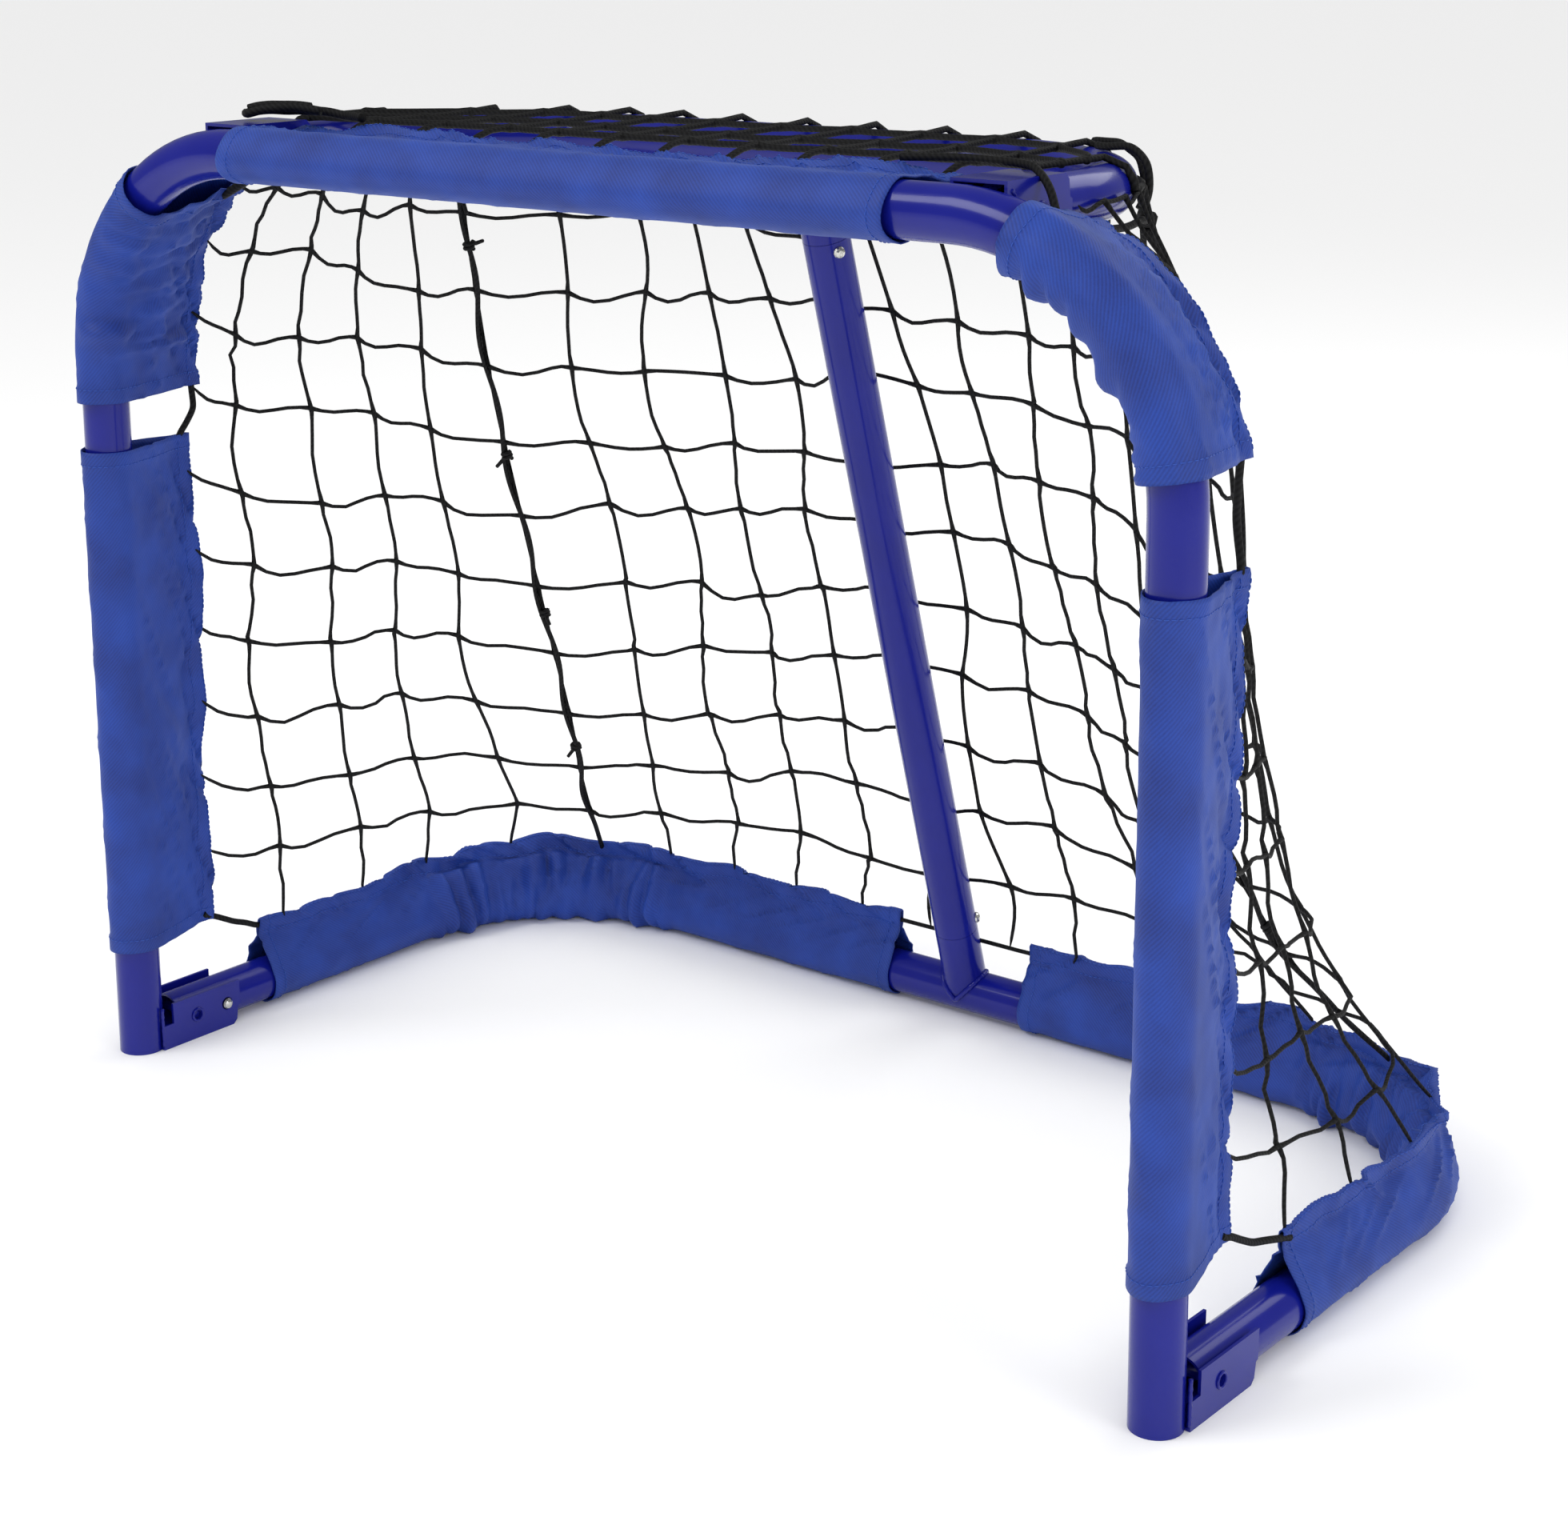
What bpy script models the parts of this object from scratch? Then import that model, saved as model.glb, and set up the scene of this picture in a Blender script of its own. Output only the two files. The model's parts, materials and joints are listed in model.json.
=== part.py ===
"""A folding steel street-hockey goal: bent tube frames, fold brackets, strut, sleeves and net.

Metres, +Z up, on the floor at z = 0. The mouth faces -Y and the base runs back to +Y. It is drawn
with the posts' axes in the plane y = 0, and moved forward at the end by CENTRE, so that the origin
is under the middle of the whole goal.
"""
import math

import bmesh
import bpy
from mathutils import Matrix, Vector

# ---------------------------------------------------------------- driving dimensions
TUBE_RADIUS = 0.0160
TUBE_WALL = 0.0015
TUBE_SIDES = 18
BEND_STEPS = 8

POST_SPACING = 0.868          # between the two post axes at the floor
POST_TOE_IN = 0.008           # how far each post leans in by the height of the crossbar
CROSSBAR_HEIGHT = 0.658       # axis of the crossbar
FRONT_BEND = 0.144            # bend radii of the tube axes
BASE_DEPTH = 0.436            # post axis to the axis of the base's rear tube
BASE_BEND = 0.140
TOP_SPACING = 0.594           # between the two arms of the top frame
TOP_DEPTH = 0.242
TOP_BEND = 0.152

SHEET = 0.0020                # bracket steel
CLEARANCE = 0.0003            # between pieces that sit on or in each other
PIVOT_BEHIND_POST = 0.0385    # fold axis behind the plane of the posts
ARM_END_AHEAD = 0.0145        # arm's cut end ahead of its fold axis
BRACKET_HEIGHT = 0.0335
FOOT_BRACKET_END = 0.0795
TOP_BRACKET_END = 0.0680
BRACKET_FRONT = 0.0060        # where its walls start beside the front frame
CORNER_CUT = 0.0070           # off the rear corner by the web
LIP = 0.0010
PIN_RADIUS = 0.0052
PIN_BORE = 0.0034
PIN_PLAY = 0.0003

BUTTON_BEHIND_PIVOT = 0.0285
BUTTON_RADIUS = 0.0041
BUTTON_PLAY = 0.0004
BUTTON_DOME = 0.0032          # how far the dome stands out of the outer face
BUTTON_FLANGE = 0.0055
STRIP = 0.0008                # spring strip of the snap buttons
STRIP_WIDTH = 0.0070
STRIP_REACH = 0.0340          # button to the bend of its spring

BASE_STUB = 0.0560            # tube axis to the butt joint, along the strut
TOP_STUB = 0.0600
SPIGOT_WALL = 0.0015
SPIGOT_IN_STUB = 0.0300
SPIGOT_IN_STRUT = 0.0280
STRUT_BUTTON_OFFSET = 0.0070  # butt joint to the snap button, on the strut's side
BASE_BUTTON_TURN = math.radians(125)   # round the strut, from -Y towards +X
TOP_BUTTON_TURN = math.radians(64)

CLOTH = 0.0013                # one layer of sleeve cloth with its hem
SLEEVE_SIDES = 12
FLAP = 0.0032                 # two layers sewn together
POST_FLAP = 0.0720            # tube axis to the sewn edge of the flap
BASE_FLAP = 0.0480
CROSSBAR_FLAP = 0.0550
FLAP_WAVE = 0.0030            # depth of the main folds along a flap's edge
WAVE_LENGTH = 0.120
LEFT_POST_SLEEVE = (0.080, 0.448)      # heights
RIGHT_POST_SLEEVE = (0.085, 0.474)
LEFT_CORNER_FOOT = 0.482               # height where the corner sleeve ends on the post
RIGHT_CORNER_FOOT = 0.533
LEFT_CORNER_ANGLE = math.radians(52)   # how far round the bend it reaches
RIGHT_CORNER_ANGLE = math.radians(72)
CROSSBAR_SLEEVE = (-0.276, 0.253)      # x of its ends
BASE_SLEEVE_LEFT = (0.116, -0.062)     # y of its mouth on the arm, x of its end at the back
BASE_SLEEVE_RIGHT = (0.135, 0.057)

CORD = 0.0030                 # thickness of the net's cords
MESH_BAR = 0.0040
SEAM_CORD_RADIUS = 0.0026
EDGE_CORD_RADIUS = 0.0022
SIDE_CELLS = (5, 9)
BACK_CELLS = (13, 9)
TOP_CELLS = (11, 4)
NET_BELLY = 0.014             # how far the back net hangs out behind the strut

# ---------------------------------------------------------------- sizes that follow
HALF = POST_SPACING / 2
TOP_HALF = TOP_SPACING / 2
BORE = TUBE_RADIUS - TUBE_WALL
CHANNEL_HALF = TUBE_RADIUS + CLEARANCE
BASE_Z = SHEET + CLEARANCE + TUBE_RADIUS
TOP_Z = CROSSBAR_HEIGHT
ARM_END = PIVOT_BEHIND_POST - ARM_END_AHEAD
BASE_FOOT = Vector((0, BASE_DEPTH, BASE_Z))
TOP_HEAD = Vector((0, TOP_DEPTH, TOP_Z))
STRUT_AXIS = (TOP_HEAD - BASE_FOOT).normalized()
STRUT_SPAN = (TOP_HEAD - BASE_FOOT).length
SPIGOT_RADIUS = BORE - CLEARANCE
SLEEVE_BORE = TUBE_RADIUS + CLEARANCE
SLEEVE_SKIN = SLEEVE_BORE + CLOTH
NET_STANDOFF = TUBE_RADIUS + CLEARANCE + CORD / 2
CENTRE = (BASE_DEPTH + BASE_Z - SLEEVE_SKIN / math.cos(math.pi / SLEEVE_SIDES)) / 2

ENAMEL = ("blue_enamel", (0.020, 0.030, 0.330, 1), 0.22, 0.0)
CLOTH_BLUE = ("blue_cloth", (0.022, 0.060, 0.420, 1), 0.75, 0.0)
NET_BLACK = ("black_cord", (0.012, 0.012, 0.013, 1), 0.85, 0.0)
PLATED = ("plated_steel", (0.620, 0.620, 0.600, 1), 0.30, 1.0)
SPRING_STEEL = ("spring_steel", (0.400, 0.400, 0.410, 1), 0.35, 1.0)


# ---------------------------------------------------------------- scene helpers
def clear_scene():
    for thing in list(bpy.data.objects):
        bpy.data.objects.remove(thing, do_unlink=True)


def material(node, finish):
    name, colour, roughness, metallic = finish
    made = bpy.data.materials.new(f"{node}_{name}")
    made.use_nodes = True
    shader = made.node_tree.nodes["Principled BSDF"]
    shader.inputs["Base Color"].default_value = colour
    shader.inputs["Roughness"].default_value = roughness
    shader.inputs["Metallic"].default_value = metallic
    made.diffuse_color = colour
    return made


def empty(name, place):
    made = bpy.data.objects.new(name, None)
    made.location = place
    bpy.context.scene.collection.objects.link(made)
    return made


def add(name, bm, finish, origin=(0, 0, 0), parent=None, smooth=True):
    """One node from world-space geometry, with its origin set and its parent kept in place."""
    origin = Vector(origin)
    bmesh.ops.translate(bm, verts=bm.verts, vec=-origin)
    bmesh.ops.recalc_face_normals(bm, faces=bm.faces)
    mesh = bpy.data.meshes.new(name)
    bm.to_mesh(mesh)
    bm.free()
    if smooth:
        mesh.shade_smooth()
        mesh.set_sharp_from_angle(angle=math.radians(35))
    mesh.materials.append(material(name, finish))
    made = bpy.data.objects.new(name, mesh)
    bpy.context.scene.collection.objects.link(made)
    made.location = origin
    if parent:
        made.parent = parent
        made.location = origin - parent.location
    return made


def cutter(name, bm):
    mesh = bpy.data.meshes.new(name)
    bmesh.ops.recalc_face_normals(bm, faces=bm.faces)
    bm.to_mesh(mesh)
    bm.free()
    made = bpy.data.objects.new(name, mesh)
    bpy.context.scene.collection.objects.link(made)
    made.hide_render = True
    made.display_type = "WIRE"
    return made


def cut(piece, tool):
    step = piece.modifiers.new(tool.name, "BOOLEAN")
    step.operation = "DIFFERENCE"
    step.solver = "EXACT"
    step.object = tool


# ---------------------------------------------------------------- geometry helpers
def frame_on(along):
    """Two directions square to a unit vector, and square to each other."""
    side = Vector((0, 0, 1)) if abs(along.z) < 0.9 else Vector((0, -1, 0))
    across = side.cross(along).normalized()
    return across, along.cross(across).normalized()


def filleted(corners, radius, steps):
    """A path through corner points, each inner corner rounded to a radius."""
    path = [Vector(corners[0])]
    for before, corner, after in zip(corners, corners[1:], corners[2:]):
        back = (Vector(before) - Vector(corner)).normalized()
        on = (Vector(after) - Vector(corner)).normalized()
        half = back.angle(on) / 2
        reach = radius / math.tan(half)
        centre = Vector(corner) + (back + on).normalized() * radius / math.sin(half)
        start = Vector(corner) + back * reach - centre
        turn = Matrix.Rotation((math.pi - 2 * half) / steps, 3, back.cross(start).normalized())
        for _ in range(steps + 1):
            path.append(centre + start)
            start = turn @ start
    path.append(Vector(corners[-1]))
    return path


def tangents(path):
    ways = [(b - a).normalized() for a, b in zip(path, path[1:])]
    inner = [(a + b).normalized() for a, b in zip(ways, ways[1:])]
    return [ways[0], *inner, ways[-1]]


def between(path, start, end):
    """The stretch of a path from one length along it to another, with the points between."""
    found, run = [], 0.0
    for a, b in zip(path, path[1:]):
        step = (b - a).length
        for mark in (start, end):
            if run <= mark < run + step:
                found.append((mark, a.lerp(b, (mark - run) / step)))
        run += step
        if start < run < end:
            found.append((run, b.copy()))
    found.sort(key=lambda item: item[0])
    return [point for _, point in found]


def length_at(path, test):
    """How far along a path its first point is where test(point) turns true."""
    run = 0.0
    for a, b in zip(path, path[1:]):
        step = (b - a).length
        if test(b) and not test(a):
            low, high = 0.0, 1.0
            for _ in range(40):
                mid = (low + high) / 2
                if test(a.lerp(b, mid)):
                    high = mid
                else:
                    low = mid
            return run + step * high
        run += step
    return run


def sweep(path, outlines, end_ways=None):
    """Closed rings carried along a path in one plane. outlines(i) gives each ring's points as
    (sideways, upwards) in the ring's own plane, listed loop by loop. end_ways are what the two
    end faces are square to, where that isn't the path itself."""
    bm = bmesh.new()
    ways = tangents(path)
    if end_ways:
        ways[0], ways[-1] = end_ways
    rings = []
    for index, (point, way) in enumerate(zip(path, ways)):
        across, up = outlines.frame(way)
        rings.append(
            [
                [bm.verts.new(point + across * u + up * v) for u, v in loop]
                for loop in outlines(index)
            ]
        )
    for ring, after in zip(rings, rings[1:]):
        for loop, next_loop in zip(ring, after):
            for k in range(len(loop)):
                n = (k + 1) % len(loop)
                bm.faces.new((loop[k], loop[n], next_loop[n], next_loop[k]))
    for ring in (rings[0], rings[-1]):
        if len(ring) == 1:
            bm.faces.new(ring[0])
        else:
            edges = [
                bm.edges.get((loop[k], loop[(k + 1) % len(loop)]))
                for loop in ring
                for k in range(len(loop))
            ]
            bmesh.ops.triangle_fill(bm, use_beauty=True, use_dissolve=False, edges=edges)
    return bm


class RoundSection:
    """A round tube's section, hollow if it has a bore."""

    def __init__(self, radius, bore=0.0, sides=TUBE_SIDES):
        self.loops = []
        for r in (radius, bore) if bore else (radius,):
            turns = [2 * math.pi * k / sides for k in range(sides)]
            self.loops.append([(r * math.cos(t), r * math.sin(t)) for t in turns])

    frame = staticmethod(frame_on)

    def __call__(self, _index):
        return self.loops


class SleeveSection:
    """A sleeve's section: a bore for the tube, a skin, and a flat flap on one side."""

    def __init__(self, flap_way, skin, reach, lengths):
        self.flap_way = flap_way
        self.skin = skin
        self.reach = reach
        self.lengths = lengths

    def frame(self, way):
        across = (self.flap_way - way * self.flap_way.dot(way)).normalized()
        return across, way.cross(across).normalized()

    def __call__(self, index):
        turns = [2 * math.pi * (k + 0.5) / SLEEVE_SIDES for k in range(SLEEVE_SIDES)]
        to_corner = 1 / math.cos(math.pi / SLEEVE_SIDES)
        bore, skin = (
            [(r * to_corner * math.cos(t), r * to_corner * math.sin(t)) for t in turns]
            for r in (SLEEVE_BORE, self.skin)
        )
        root = self.skin
        wave = FLAP_WAVE * math.sin(2 * math.pi * self.lengths[index] / WAVE_LENGTH)
        reach = self.reach(self.lengths[index])
        middle = (root + reach) / 2
        flap = [
            (root, -FLAP / 2),
            (middle, wave * 0.4 - FLAP / 2),
            (reach, wave - FLAP / 2),
            (reach, wave + FLAP / 2),
            (middle, wave * 0.4 + FLAP / 2),
            (root, FLAP / 2),
        ]
        return [skin + flap, bore]


def cylinder_between(start, end, radius, sides=TUBE_SIDES):
    start, end = Vector(start), Vector(end)
    return sweep([start, end], RoundSection(radius, sides=sides))


def tube_between(start, end, radius, bore, sides=TUBE_SIDES):
    return sweep([Vector(start), Vector(end)], RoundSection(radius, bore, sides))


def extruded(points, way, depth):
    """A flat outline (in world space) pushed along a direction."""
    bm = bmesh.new()
    near = [bm.verts.new(p) for p in points]
    far = [bm.verts.new(Vector(p) + Vector(way) * depth) for p in points]
    bm.faces.new(near)
    bm.faces.new(list(reversed(far)))
    for k in range(len(near)):
        n = (k + 1) % len(near)
        bm.faces.new((near[k], near[n], far[n], far[k]))
    return bm


# ---------------------------------------------------------------- paths of the bent tubes
def front_path():
    lean = HALF - POST_TOE_IN
    return filleted(
        [(-HALF, 0, 0), (-lean, 0, CROSSBAR_HEIGHT), (lean, 0, CROSSBAR_HEIGHT), (HALF, 0, 0)],
        FRONT_BEND,
        BEND_STEPS,
    )


def base_path():
    return filleted(
        [
            (-HALF, ARM_END, BASE_Z),
            (-HALF, BASE_DEPTH, BASE_Z),
            (HALF, BASE_DEPTH, BASE_Z),
            (HALF, ARM_END, BASE_Z),
        ],
        BASE_BEND,
        BEND_STEPS,
    )


def top_path(out=0.0):
    """The top frame's axis, or a curve outside it by a distance."""
    return filleted(
        [
            (-TOP_HALF - out, ARM_END, TOP_Z),
            (-TOP_HALF - out, TOP_DEPTH + out, TOP_Z),
            (TOP_HALF + out, TOP_DEPTH + out, TOP_Z),
            (TOP_HALF + out, ARM_END, TOP_Z),
        ],
        TOP_BEND + out,
        BEND_STEPS,
    )


def on_strut(along):
    """A point on the strut's line, by its distance from the base tube's axis."""
    return BASE_FOOT + STRUT_AXIS * along


# ---------------------------------------------------------------- tube frames
def arm_end_cutter(name, spacing, z, fold):
    """Takes the corner off both arm ends, so that they swing clear of the bracket's web.

    fold is +1 where the arm's rear end folds up, and -1 where it folds down.
    """
    pivot = Vector((0, PIVOT_BEHIND_POST, z))
    reach = 2 * TUBE_RADIUS
    turns = [math.pi + fold * math.pi / 2 * k / 8 for k in range(9)]
    arc = [
        pivot + Vector((0, math.cos(t), math.sin(t))) * TUBE_RADIUS
        for t in turns
    ]
    outline = [
        *arc,
        pivot + Vector((0, 0, -fold * reach)),
        pivot + Vector((0, -reach, -fold * reach)),
        pivot + Vector((0, -reach, 0)),
    ]
    half = spacing + reach
    return cutter(name, extruded([p - Vector((half, 0, 0)) for p in outline], (1, 0, 0), 2 * half))


def cross_holes(name, spacing, z, button_side):
    """Cutters for both arms of a frame: the pin's bore and the hole for each snap button."""
    tools = []
    for side, label in ((-1, "left"), (1, "right")):
        x = side * spacing
        reach = Vector((2 * TUBE_RADIUS, 0, 0))
        pivot = Vector((x, PIVOT_BEHIND_POST, z))
        pin = cylinder_between(pivot - reach, pivot + reach, PIN_RADIUS + PIN_PLAY, 16)
        tools.append(cutter(f"{name}_pin_{label}", pin))
        seat = pivot + Vector((0, BUTTON_BEHIND_PIVOT, 0))
        inward = Vector((-side * button_side, 0, 0))
        bore = cylinder_between(
            seat + inward * BORE / 2, seat + inward * 2 * TUBE_RADIUS, BUTTON_RADIUS + BUTTON_PLAY, 12
        )
        tools.append(cutter(f"{name}_button_{label}", bore))
    return tools


def tube_frames(base_hinge, top_hinge):
    section = RoundSection(TUBE_RADIUS, BORE)
    up = Vector((0, 0, 1))
    add("front_frame", sweep(front_path(), section, (up, -up)), ENAMEL)
    base = add(
        "base_frame", sweep(base_path(), section), ENAMEL, base_hinge.location, base_hinge
    )
    top = add("top_frame", sweep(top_path(), section), ENAMEL, top_hinge.location, top_hinge)
    cut(base, arm_end_cutter("cut_base_arm_ends", HALF, BASE_Z, 1))
    cut(top, arm_end_cutter("cut_top_arm_ends", TOP_HALF, TOP_Z, -1))
    for tool in cross_holes("cut_base", HALF, BASE_Z, 1):
        cut(base, tool)
    for tool in cross_holes("cut_top", TOP_HALF, TOP_Z, 1):
        cut(top, tool)


# ---------------------------------------------------------------- fold brackets
def bracket(name, x, z, fold, end, weld):
    """A U channel of bent sheet, open towards the fold, with its walls beside the arm.

    Its front is coped round the front frame, where it is welded. z is the arm's axis.
    """
    web = z - fold * (CHANNEL_HALF + SHEET)
    middle = CHANNEL_HALF + SHEET
    outline = [
        (end - CORNER_CUT, 0.0),
        (end - CORNER_CUT / 2, CORNER_CUT / 2),
        (end - CORNER_CUT / 3, 2 * CORNER_CUT - LIP),
        (end, 2 * CORNER_CUT),
        (end, BRACKET_HEIGHT),
        (TUBE_RADIUS, BRACKET_HEIGHT),
        (TUBE_RADIUS, middle),
        (BRACKET_FRONT, middle),
        (BRACKET_FRONT, 0.0),
    ]
    outer = CHANNEL_HALF + SHEET
    block = extruded(
        [(x - outer, y, web + fold * h) for y, h in outline], (1, 0, 0), 2 * outer
    )
    piece = add(name, block, ENAMEL, smooth=False)
    hollow = bmesh.new()
    reach = web + fold * (SHEET + BRACKET_HEIGHT / 2)
    place = Matrix.Translation((x, end, reach))
    bmesh.ops.create_cube(
        hollow, size=1.0, matrix=place @ Matrix.Diagonal((2 * CHANNEL_HALF, 2 * end, BRACKET_HEIGHT, 1))
    )
    cut(piece, cutter(f"cut_{name}_channel", hollow))
    pivot = Vector((x, PIVOT_BEHIND_POST, z))
    across = Vector((2 * outer, 0, 0))
    hole = cylinder_between(pivot - across, pivot + across, PIN_RADIUS + PIN_PLAY, 16)
    cut(piece, cutter(f"cut_{name}_pin", hole))
    seat = pivot + Vector((0, BUTTON_BEHIND_PIVOT, 0))
    inward = Vector((-math.copysign(1, x), 0, 0))
    seat_hole = cylinder_between(
        seat + inward * TUBE_RADIUS / 2, seat + inward * 2 * outer, BUTTON_RADIUS + 2 * BUTTON_PLAY, 16
    )
    cut(piece, cutter(f"cut_{name}_button", seat_hole))
    cut(piece, weld)


def brackets():
    around = sweep(front_path(), RoundSection(TUBE_RADIUS + CLEARANCE))
    bmesh.ops.translate(around, verts=[v for v in around.verts if v.co.z < CLEARANCE], vec=(0, 0, -SHEET))
    weld = cutter("cut_front_frame", around)
    places = (
        ("foot", HALF, BASE_Z, 1, FOOT_BRACKET_END),
        ("top", TOP_HALF, TOP_Z, -1, TOP_BRACKET_END),
    )
    for label, spacing, z, fold, end in places:
        bracket(f"{label}_bracket_left", -spacing, z, fold, end, weld)
        bracket(f"{label}_bracket_right", spacing, z, fold, end, weld)


def pivot_pins():
    """Hollow pins, held in both bracket walls, that the arms turn on."""
    reach = Vector((CHANNEL_HALF + SHEET - CLEARANCE, 0, 0))
    places = (
        ("pivot_pin_foot_left", -HALF, BASE_Z),
        ("pivot_pin_foot_right", HALF, BASE_Z),
        ("pivot_pin_top_left", -TOP_HALF, TOP_Z),
        ("pivot_pin_top_right", TOP_HALF, TOP_Z),
    )
    for name, x, z in places:
        middle = Vector((x, PIVOT_BEHIND_POST, z))
        pin = tube_between(middle - reach, middle + reach, PIN_RADIUS, PIN_BORE, 14)
        add(name, pin, PLATED, middle)


# ---------------------------------------------------------------- snap buttons
def button_mesh(place, flange_at, face):
    """A domed button on local +X. face is the radius of the outer face that it stands out of."""
    sides = 12
    rise = BUTTON_DOME
    profile = [
        (flange_at - 0.0010, BUTTON_FLANGE),
        (flange_at, BUTTON_FLANGE),
        (flange_at, BUTTON_RADIUS),
        (face + rise * 0.25, BUTTON_RADIUS),
        (face + rise * 0.68, BUTTON_RADIUS * 0.82),
        (face + rise * 0.93, BUTTON_RADIUS * 0.45),
    ]
    bm = bmesh.new()
    rings = []
    for x, r in profile:
        turns = [2 * math.pi * k / sides for k in range(sides)]
        rings.append([bm.verts.new(place @ Vector((x, r * math.cos(t), r * math.sin(t)))) for t in turns])
    for a, b in zip(rings, rings[1:]):
        for k in range(sides):
            n = (k + 1) % sides
            bm.faces.new((a[k], a[n], b[n], b[k]))
    tip = bm.verts.new(place @ Vector((face + rise, 0, 0)))
    for k in range(sides):
        bm.faces.new((rings[-1][k], rings[-1][(k + 1) % sides], tip))
    bm.faces.new(rings[0])
    return bm


def spring_mesh(place, under, wall):
    """The V of spring strip behind a button: one leg under it, one on the wall opposite."""
    outline = [
        (under, -BUTTON_FLANGE),
        (under, 0.004),
        (0.0015, STRIP_REACH),
        (-0.0015, STRIP_REACH),
        (-wall, 0.006),
        (-wall, 0.0),
        (-wall + STRIP, 0.0),
        (-wall + STRIP, 0.006),
        (0.0, STRIP_REACH - 0.003),
        (under - STRIP, 0.004),
        (under - STRIP, -BUTTON_FLANGE),
    ]
    points = [place @ Vector((x, y, -STRIP_WIDTH / 2)) for x, y in outline]
    way = (place.to_3x3() @ Vector((0, 0, 1))).normalized()
    return extruded(points, way, STRIP_WIDTH)


def basis(origin, out, along):
    third = out.cross(along)
    turn = Matrix((out, along, third)).transposed().to_4x4()
    return Matrix.Translation(origin) @ turn


def snap_buttons(base_hinge, top_hinge):
    flange = BORE - 0.0016
    wall = math.sqrt((BORE * math.cos(math.pi / TUBE_SIDES)) ** 2 - (STRIP_WIDTH / 2) ** 2) - CLEARANCE
    face = CHANNEL_HALF + SHEET
    places = (
        ("foot_left", -HALF, BASE_Z, base_hinge),
        ("foot_right", HALF, BASE_Z, base_hinge),
        ("top_left", -TOP_HALF, TOP_Z, top_hinge),
        ("top_right", TOP_HALF, TOP_Z, top_hinge),
    )
    for label, x, z, hinge in places:
        seat = Vector((x, PIVOT_BEHIND_POST + BUTTON_BEHIND_PIVOT, z))
        out = Vector((-math.copysign(1, x), 0, 0))
        place = basis(seat, out, Vector((0, 1, 0)))
        add(f"snap_button_{label}", button_mesh(place, flange, face), PLATED, seat, hinge)
        spring = spring_mesh(place, flange - 0.0010 - CLEARANCE, wall)
        add(f"button_spring_{label}", spring, SPRING_STEEL, seat, hinge, smooth=False)


# ---------------------------------------------------------------- strut and its stubs
def strut_parts(base_hinge, top_hinge):
    gap = CLEARANCE / 2
    end = STRUT_SPAN - TOP_STUB
    strut = tube_between(on_strut(BASE_STUB + gap), on_strut(end - gap), TUBE_RADIUS, BORE)
    strut = add("rear_strut", strut, ENAMEL, on_strut(STRUT_SPAN / 2))
    joints = (
        ("base", BASE_FOOT, 1, BASE_STUB, base_hinge, BASE_BUTTON_TURN),
        ("top", TOP_HEAD, -1, TOP_STUB, top_hinge, TOP_BUTTON_TURN),
    )
    for label, middle, way, length, hinge, turn in joints:
        axis = STRUT_AXIS * way
        stub = tube_between(middle, middle + axis * (length - gap), TUBE_RADIUS, BORE)
        stub = add(f"{label}_stub", stub, ENAMEL, middle, hinge)
        reach = Vector((2 * TUBE_RADIUS, 0, 0))
        saddle = cylinder_between(middle - reach, middle + reach, TUBE_RADIUS + CLEARANCE, 36)
        cut(stub, cutter(f"cut_{label}_saddle", saddle))
        start, stop = length - SPIGOT_IN_STUB, length + SPIGOT_IN_STRUT
        inner = SPIGOT_RADIUS - SPIGOT_WALL
        spigot = tube_between(middle + axis * start, middle + axis * stop, SPIGOT_RADIUS, inner)
        spigot = add(f"{label}_spigot", spigot, SPRING_STEEL, middle, hinge)

        seat = middle + axis * (length + STRUT_BUTTON_OFFSET)
        facing = Matrix.Rotation(turn, 3, STRUT_AXIS) @ Vector((0, -STRUT_AXIS.z, STRUT_AXIS.y))
        inside = seat + facing * SPIGOT_RADIUS / 2
        outside = seat + facing * 2 * TUBE_RADIUS
        hole = cylinder_between(inside, outside, BUTTON_RADIUS + BUTTON_PLAY, 12)
        hole = cutter(f"cut_{label}_strut_button", hole)
        cut(strut, hole)
        cut(spigot, hole)
        place = basis(seat, facing, -axis)
        flange = inner - 0.0016
        wall = math.sqrt((inner * math.cos(math.pi / TUBE_SIDES)) ** 2 - (STRIP_WIDTH / 2) ** 2)
        button = button_mesh(place, flange, TUBE_RADIUS)
        add(f"snap_button_strut_{label}", button, PLATED, seat, hinge)
        spring = spring_mesh(place, flange - 0.0010 - CLEARANCE, wall - CLEARANCE)
        add(f"button_spring_strut_{label}", spring, SPRING_STEEL, seat, hinge, smooth=False)


# ---------------------------------------------------------------- cloth sleeves
def spread(path, start, end, most):
    """A stretch of a path with extra points where its straight runs are long."""
    points = between(path, start, end)
    out = [points[0]]
    for a, b in zip(points, points[1:]):
        parts = max(1, math.ceil((b - a).length / most))
        out += [a.lerp(b, k / parts) for k in range(1, parts + 1)]
    return out


def sleeve(name, path, start, end, flap_way, reach, skin=SLEEVE_SKIN, taper=0.0, hinge=None):
    """taper is the length at the sleeve's start over which the flap grows to its full reach."""
    points = spread(path, start, end, WAVE_LENGTH * 0.8)
    lengths = [0.0]
    for a, b in zip(points, points[1:]):
        lengths.append(lengths[-1] + (b - a).length)

    def reach_at(length):
        share = 1.0 if not taper else min(1.0, 0.45 + 0.55 * length / taper)
        return skin + (reach - skin) * share

    bm = sweep(points, SleeveSection(flap_way, skin, reach_at, lengths))
    add(name, bm, CLOTH_BLUE, hinge.location if hinge else (0, 0, 0), hinge)


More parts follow.
